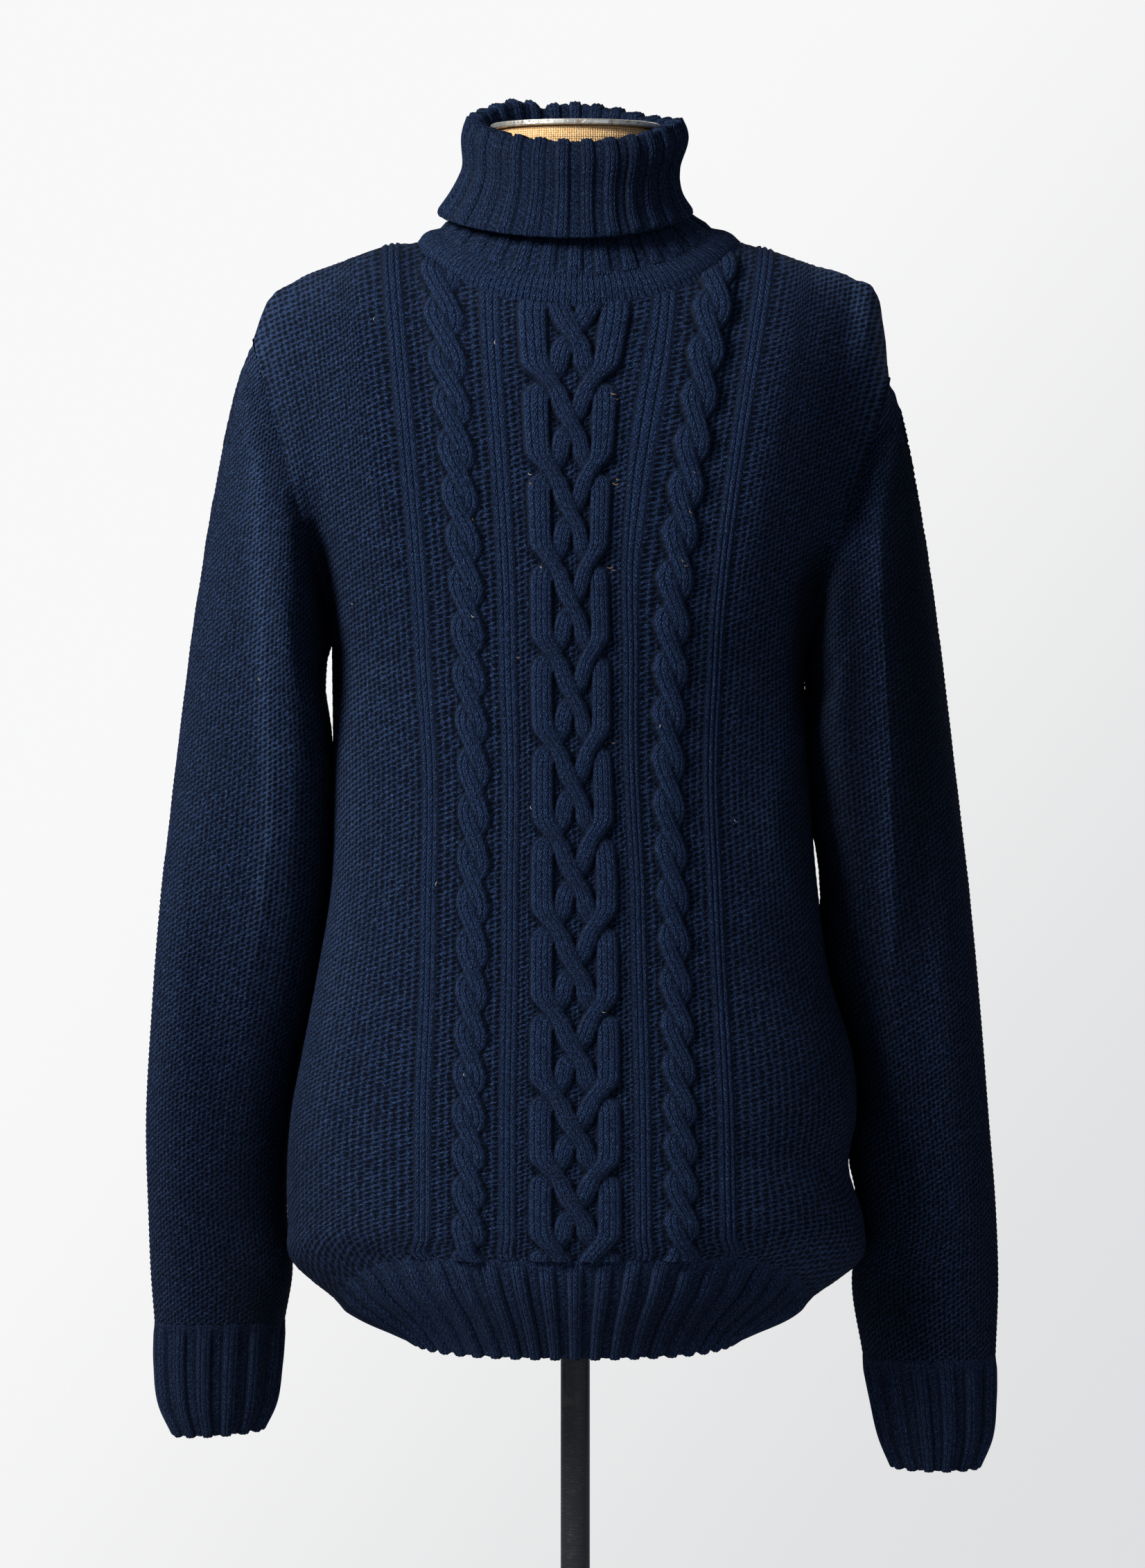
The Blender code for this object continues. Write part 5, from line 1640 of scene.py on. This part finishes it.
print("collar:", len(seen_rows), "rows on its seen layer,", len(inner_rows), "inside the fold")

# %% Knit the collar
COLLAR_RISE, COLLAR_SHARE = 0.0021, 0.58   # how high its ribs stand, and how much is knit
RIB_START = (0.02, 0.008)  # how far before the rim the seen ribs begin, and are full
EDGE_RELIEF = 0.3          # the share of its height that a rib keeps at the collar's edges
EDGE_FADE, FOOT_FADE = 0.003, 0.004    # over how much length it falls to that share
LAYERS_APART = 0.2         # keeps the two layers apart on the collar's own map
collar_index = np.arange(points.shape[0] * NECK_COLUMNS).reshape(shape)[:, ::-1]
around = np.linspace(0, NECK_RIBS * RIB_PITCH * WALE, NECK_COLUMNS, endpoint=False)
around = np.broadcast_to(around, shape)
rib_count = around / (RIB_PITCH * WALE) + 0.5 * layer[:, None]
collar_relief = ribbed(lengths[:, None] / COURSE + 0 * around, rib_count,
                       COLLAR_RISE, COLLAR_SHARE)
seen_weight = np.where(
    layer == 0, smooth_step(rim - RIB_START[0], rim - RIB_START[1], lengths),
    1 - smooth_step(stand_seen - HIDDEN_STEP, stand_seen, lengths))
ends = np.where(layer == 0, smooth_step(0.0, EDGE_FADE, length[-1] - lengths),
                smooth_step(0.0, FOOT_FADE, lengths))
ends = EDGE_RELIEF + (1 - EDGE_RELIEF) * ends
collar_relief = collar_relief._replace(
    height=collar_relief.height * (seen_weight * ends)[:, None])
collar_sheet = Sheet(points, collar_index, around, np.broadcast_to(
    (lengths[:, None] + LAYERS_APART * layer[:, None]) / COURSE, shape))
collar = knit_sheet(collar_sheet, collar_relief, {"turned_collar": (-1, 1)}, wraps=True)[0]
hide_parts("collar")

# %% [markdown]
# ## The dress form and its stand
# These parts keep their solids, so only their finishes are made here. The form is covered in
# natural linen, a plain weave of uneven threads. A weave could come from an image, but drawn
# by nodes it stays sharp at any size. The cap and the pole are metal, and both are a little
# worn, so they share one group for wear and each gives it its own values.

# %% Draw a plain weave
THREAD_DRIFT = 0.5         # how far the threads wander, in threads
plain_weave, inside, outside = group_of(
    "plain_weave", [("Thread", "NodeSocketFloat", 0.0015)],
    [("Height", "NodeSocketFloat"), ("Gap_shade", "NodeSocketFloat"), ("Slub", "NodeSocketFloat")])
calc = partial(math_node, plain_weave)
place = plain_weave.nodes.new("ShaderNodeTexCoord").outputs["Object"]
axes, facing = (plain_weave.nodes.new("ShaderNodeSeparateXYZ") for _ in range(2))
plain_weave.links.new(place, axes.inputs[0])
plain_weave.links.new(plain_weave.nodes.new("ShaderNodeNewGeometry").outputs["Normal"],
                      facing.inputs[0])
sideways = calc("GREATER_THAN", calc("ABSOLUTE", facing.outputs[0]),
                calc("ABSOLUTE", facing.outputs[1]))
flat_way = mix_numbers(plain_weave, sideways, axes.outputs[0], axes.outputs[1])
unevenness = noise(plain_weave, place, 260.0)
warp = calc("MULTIPLY_ADD", unevenness, THREAD_DRIFT,
            calc("DIVIDE", flat_way, inside.outputs["Thread"]))
weft = calc("MULTIPLY_ADD", unevenness, -THREAD_DRIFT,
            calc("DIVIDE", axes.outputs[2], inside.outputs["Thread"]))
warp_back, weft_back = (calc("SINE", calc("MULTIPLY", calc("FRACT", count), math.pi))
                        for count in (warp, weft))
odd = calc("ADD", calc("FLOOR", warp), calc("FLOOR", weft))
odd = calc("FLOORED_MODULO", odd, 2.0)
warp_over = calc("MULTIPLY", warp_back, calc("MULTIPLY_ADD", weft_back, 0.5, 0.5))
weft_over = calc("MULTIPLY", weft_back, calc("MULTIPLY_ADD", warp_back, 0.5, 0.5))
woven = mix_numbers(plain_weave, odd, warp_over, weft_over)
# Painted shade: the lower a place lies in the weave, the darker the colour put there.
thread_gap_shade = calc("SUBTRACT", 1.0, calc("MULTIPLY", woven, 1.8), clamp=True)
plain_weave.links.new(woven, outside.inputs["Height"])
plain_weave.links.new(thread_gap_shade, outside.inputs["Gap_shade"])
plain_weave.links.new(noise(plain_weave, place, 620.0, 2.0, 0.7), outside.inputs["Slub"])
print("plain_weave:", len(plain_weave.nodes), "nodes")

# %% [markdown]
# ## Wear
# Metal that stands in a shop dulls in patches, where hands have been, and gets fine scratches
# along its length. The group takes the amount of wear and the size of its patches, and puts
# out a mask for each kind. What wear does to the metal is up to each material.

# %% Wear a metal
PATCH_EDGE = 0.70          # patches are worn where the noise is over this, less what Amount adds
SCRATCH_STRETCH = 14.0     # how much shorter than long a scratch is
wear, inside, outside = group_of(
    "wear", [("Scale", "NodeSocketFloat", 120.0), ("Amount", "NodeSocketFloat", 0.5)],
    [("Worn", "NodeSocketFloat"), ("Scratch", "NodeSocketFloat")])
calc = partial(math_node, wear)
place = wear.nodes.new("ShaderNodeTexCoord").outputs["Object"]
patches = noise(wear, place, inside.outputs["Scale"], 4.0, 0.65)
edge = calc("SUBTRACT", PATCH_EDGE, calc("MULTIPLY", inside.outputs["Amount"], 0.3))
worn = calc("MULTIPLY", calc("SUBTRACT", patches, edge), 7.0, clamp=True)
wear.links.new(worn, outside.inputs["Worn"])
stretch = wear.nodes.new("ShaderNodeMapping")
stretch.inputs["Scale"].default_value = (1.0, 1.0, SCRATCH_STRETCH)
wear.links.new(place, stretch.inputs["Vector"])
scratched = between(wear, noise(wear, stretch.outputs[0], 160.0, 3.0, 0.7), 0.60, 0.72)
wear.links.new(scratched, outside.inputs["Scratch"])
print("wear:", len(wear.nodes), "nodes")

# %% Cover the form in linen
THREAD = (0.850, 0.450, 0.180, 1)
PALE_THREAD = (1.0, 0.720, 0.380, 1)
SHADE_BETWEEN_THREADS = (0.150, 0.090, 0.045, 1)
linen, tree, skin = new_material("natural_linen", {
    "Roughness": 0.85, "Specular IOR Level": 0.2})
placed = place_group(tree, plain_weave, Thread=0.0015)
thread = mix_colors(tree, between(tree, placed.outputs["Slub"], 0.35, 0.65), THREAD, PALE_THREAD)
# Painted shade between the threads.
in_gap_shade = math_node(tree, "MULTIPLY", placed.outputs["Gap_shade"], 0.85)
tree.links.new(mix_colors(tree, in_gap_shade, thread, SHADE_BETWEEN_THREADS), skin.inputs["Base Color"])
raise_bump(tree, placed.outputs["Height"], 0.0006, skin)
print("linen:", linen.name)

# %% Finish the cap and the stand
def mix_finish(tree, skin, mask, fresh, worn):
    """Colour, roughness and, if given, metallic go from fresh to worn where the mask is 1."""
    for label, a, b in zip(("Base Color", "Roughness", "Metallic"), fresh, worn):
        mix = mix_colors if label == "Base Color" else mix_numbers
        tree.links.new(mix(tree, mask, a, b), skin.inputs[label])


chrome, tree, skin = new_material("worn_chrome_plate", {})
placed = place_group(tree, wear, Scale=110.0, Amount=0.80)
dulled = placed.outputs["Worn"]
mix_finish(tree, skin, dulled, ((0.66, 0.64, 0.60, 1), 0.34, 0.80),
           ((0.30, 0.25, 0.20, 1), 0.60, 0.35))
raise_bump(tree, math_node(tree, "SUBTRACT", 1.0, dulled), 0.0003, skin)

paint, tree, skin = new_material("satin_black_paint", {})
placed = place_group(tree, wear, Scale=60.0, Amount=0.35)
dulled = math_node(tree, "MAXIMUM", placed.outputs["Worn"],
                   math_node(tree, "MULTIPLY", placed.outputs["Scratch"], 0.6))
mix_finish(tree, skin, dulled, ((0.0115, 0.0130, 0.0160, 1), 0.26),
           ((0.026, 0.027, 0.028, 1), 0.42))
raise_bump(tree, dulled, 0.00008, skin)

for name, finished in {"form_torso": linen, "neck_plate": chrome, "pole": paint,
                       "base": paint}.items():
    for slot in nodes[name].material_slots:
        slot.material = finished
print("finished:", linen.name, chrome.name, paint.name)

# %% [markdown]
# ## Stray fibres
# A wool sweater always catches a few pale fibres and shows some of its lining thread where a
# cable pulls the ground apart. They are so few that each is listed. A ray from the
# front finds the cloth below it, and a thin bent tube lies on that spot.

# %% List the stray fibres
# Each row is x, z, the turn in degrees, length and width. All but the turn are millimetres.
Stray = namedtuple("Stray", "x z turn length width")
PALE = (
    (-50.6, 944, 70, 3.2, 0.22), (-28.6, 860, 20, 2.8, 0.26), (-21.1, 801, 60, 3, 0.22),
    (-64.7, 770, 35, 2.6, 0.26), (-88, 600, 110, 3, 0.2), (-27.7, 649, 55, 3.2, 0.22),
    (-142.1, 778, 15, 2.6, 0.2), (-128, 960, 80, 4, 0.18), (-96, 1035, 60, 4.2, 0.18),
    (54, 700, 120, 2.6, 0.18), (102, 640, 40, 3, 0.16), (-202, 730, 50, 3.4, 0.18),
    (-70, 480, 75, 2.4, 0.2), (18, 520, 10, 2.6, 0.18))
TAN = (
    (24.2, 911, 8, 4, 0.42), (26.2, 907.8, -6, 3.4, 0.36), (25.5, 854, 6, 4.2, 0.42),
    (27, 856.6, 20, 2.6, 0.34), (22, 801, -4, 4, 0.4), (24.6, 799.2, 12, 2.4, 0.34),
    (-64.7, 831, 25, 3.2, 0.38), (68.2, 805, 30, 3, 0.42), (70, 802, 10, 2.4, 0.34),
    (-36, 744, 15, 2.4, 0.36), (24, 690, 10, 2.8, 0.36), (-28, 854, 40, 2.8, 0.38),
    (73, 836, 50, 2.4, 0.34), (75.6, 861, 35, 2.2, 0.34))
STRAYS = [Stray(x * MM, z * MM, turn, length * MM, width * MM)
          for x, z, turn, length, width in PALE + TAN]
print("stray fibres:", len(PALE), "pale and", len(TAN), "tan")

# %% Bend a fibre on the cloth
FIBRE_RINGS, FIBRE_SIDES = 7, 5
FIBRE_BEND = 0.22          # how far its middle bends aside, in lengths
FIBRE_LIFT, PALE_ARCH = 0.8, 1.2   # its height in widths, and what a pale one's middle adds
FIBRE_THIN = 0.75          # how much of its width it loses towards its ends


def on_cloth(x, z):
    """The first point of the front's cloth at a place, seen from the front, and its normal."""
    start, along = mathutils.Vector((x, -1.0, z)), mathutils.Vector((0, 1, 0))
    hits = [piece.ray_cast(start, along) for piece in front_parts + [left_sleeve, collar]]
    hits = [(place, normal) for found, place, normal, _ in hits if found]
    return min(hits, key=lambda hit: hit[0].y) if hits else None


def stray_tube(stray, place, normal, arch):
    """Points of a thin bent tube that lies on the cloth."""
    up = mathutils.Vector((0, 0, 1))
    side = normal.cross(up).normalized()
    turn = math.radians(stray.turn)
    along = side * math.cos(turn) - normal.cross(side).normalized() * math.sin(turn)
    beside = normal.cross(along).normalized()
    rings = []
    for t in np.linspace(-1, 1, FIBRE_RINGS):
        bend = beside * (stray.length * FIBRE_BEND * (1 - t * t))
        middle = place + along * (t * stray.length / 2) + bend
        middle += normal * (stray.width * (FIBRE_LIFT + arch * (1 - t * t)))
        thin = stray.width * (1.0 - FIBRE_THIN * abs(t)**3)
        rings.append([middle + (beside * math.cos(a) + normal * math.sin(a)) * thin
                      for a in np.linspace(0, 2 * math.pi, FIBRE_SIDES, endpoint=False)])
    return rings


print(f"a fibre: {FIBRE_RINGS * FIBRE_SIDES} points")

# %% Lay the stray fibres
points, faces, tans = [], [], []
for number, stray in enumerate(STRAYS):
    spot = on_cloth(stray.x, stray.z)
    if spot is None:
        continue
    tan = number >= len(PALE)
    rings = stray_tube(stray, *spot, arch=0.0 if tan else PALE_ARCH)
    index = len(points) + np.arange(FIBRE_RINGS * FIBRE_SIDES).reshape(FIBRE_RINGS, -1)
    points += [tuple(p) for ring in rings for p in ring]
    own = faces_of(index, wraps=True) + [tuple(index[0][::-1]), tuple(index[-1])]
    faces += own
    tans += [int(tan)] * len(own)
mesh = bpy.data.meshes.new("stray_fibres")
mesh.from_pydata(points, [], [tuple(int(i) for i in f) for f in faces])
stray_fibres = bpy.data.objects.new("stray_fibres", mesh)
bpy.context.scene.collection.objects.link(stray_fibres)
for name, light, dark in (("pale_fibre", (0.60, 0.55, 0.47, 1), (0.30, 0.26, 0.22, 1)),
                          ("tan_fibre", (0.30, 0.19, 0.10, 1), (0.12, 0.07, 0.04, 1))):
    fibre, tree, skin = new_material(name, {"Roughness": 0.8})
    place = tree.nodes.new("ShaderNodeTexCoord").outputs["Object"]
    tree.links.new(mix_colors(tree, noise(tree, place, 900.0), dark, light),
                   skin.inputs["Base Color"])
    mesh.materials.append(fibre)
mesh.polygons.foreach_set("material_index", tans)
mesh.polygons.foreach_set("use_smooth", [True] * len(mesh.polygons))
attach(stray_fibres, "root")
print("stray fibres:", len(mesh.polygons), "faces")

# %% [markdown]
# ## The cut of the cloth
# A knitter shapes each piece on the needles. Its flat size is what it measures before it is
# worn, without its relief. The front is one piece of knitting that is kept here as three
# objects, so each of them has its own part of the front's width.

# %% Say how each piece was cut
Cut = namedtuple("Cut", "piece width length area held")
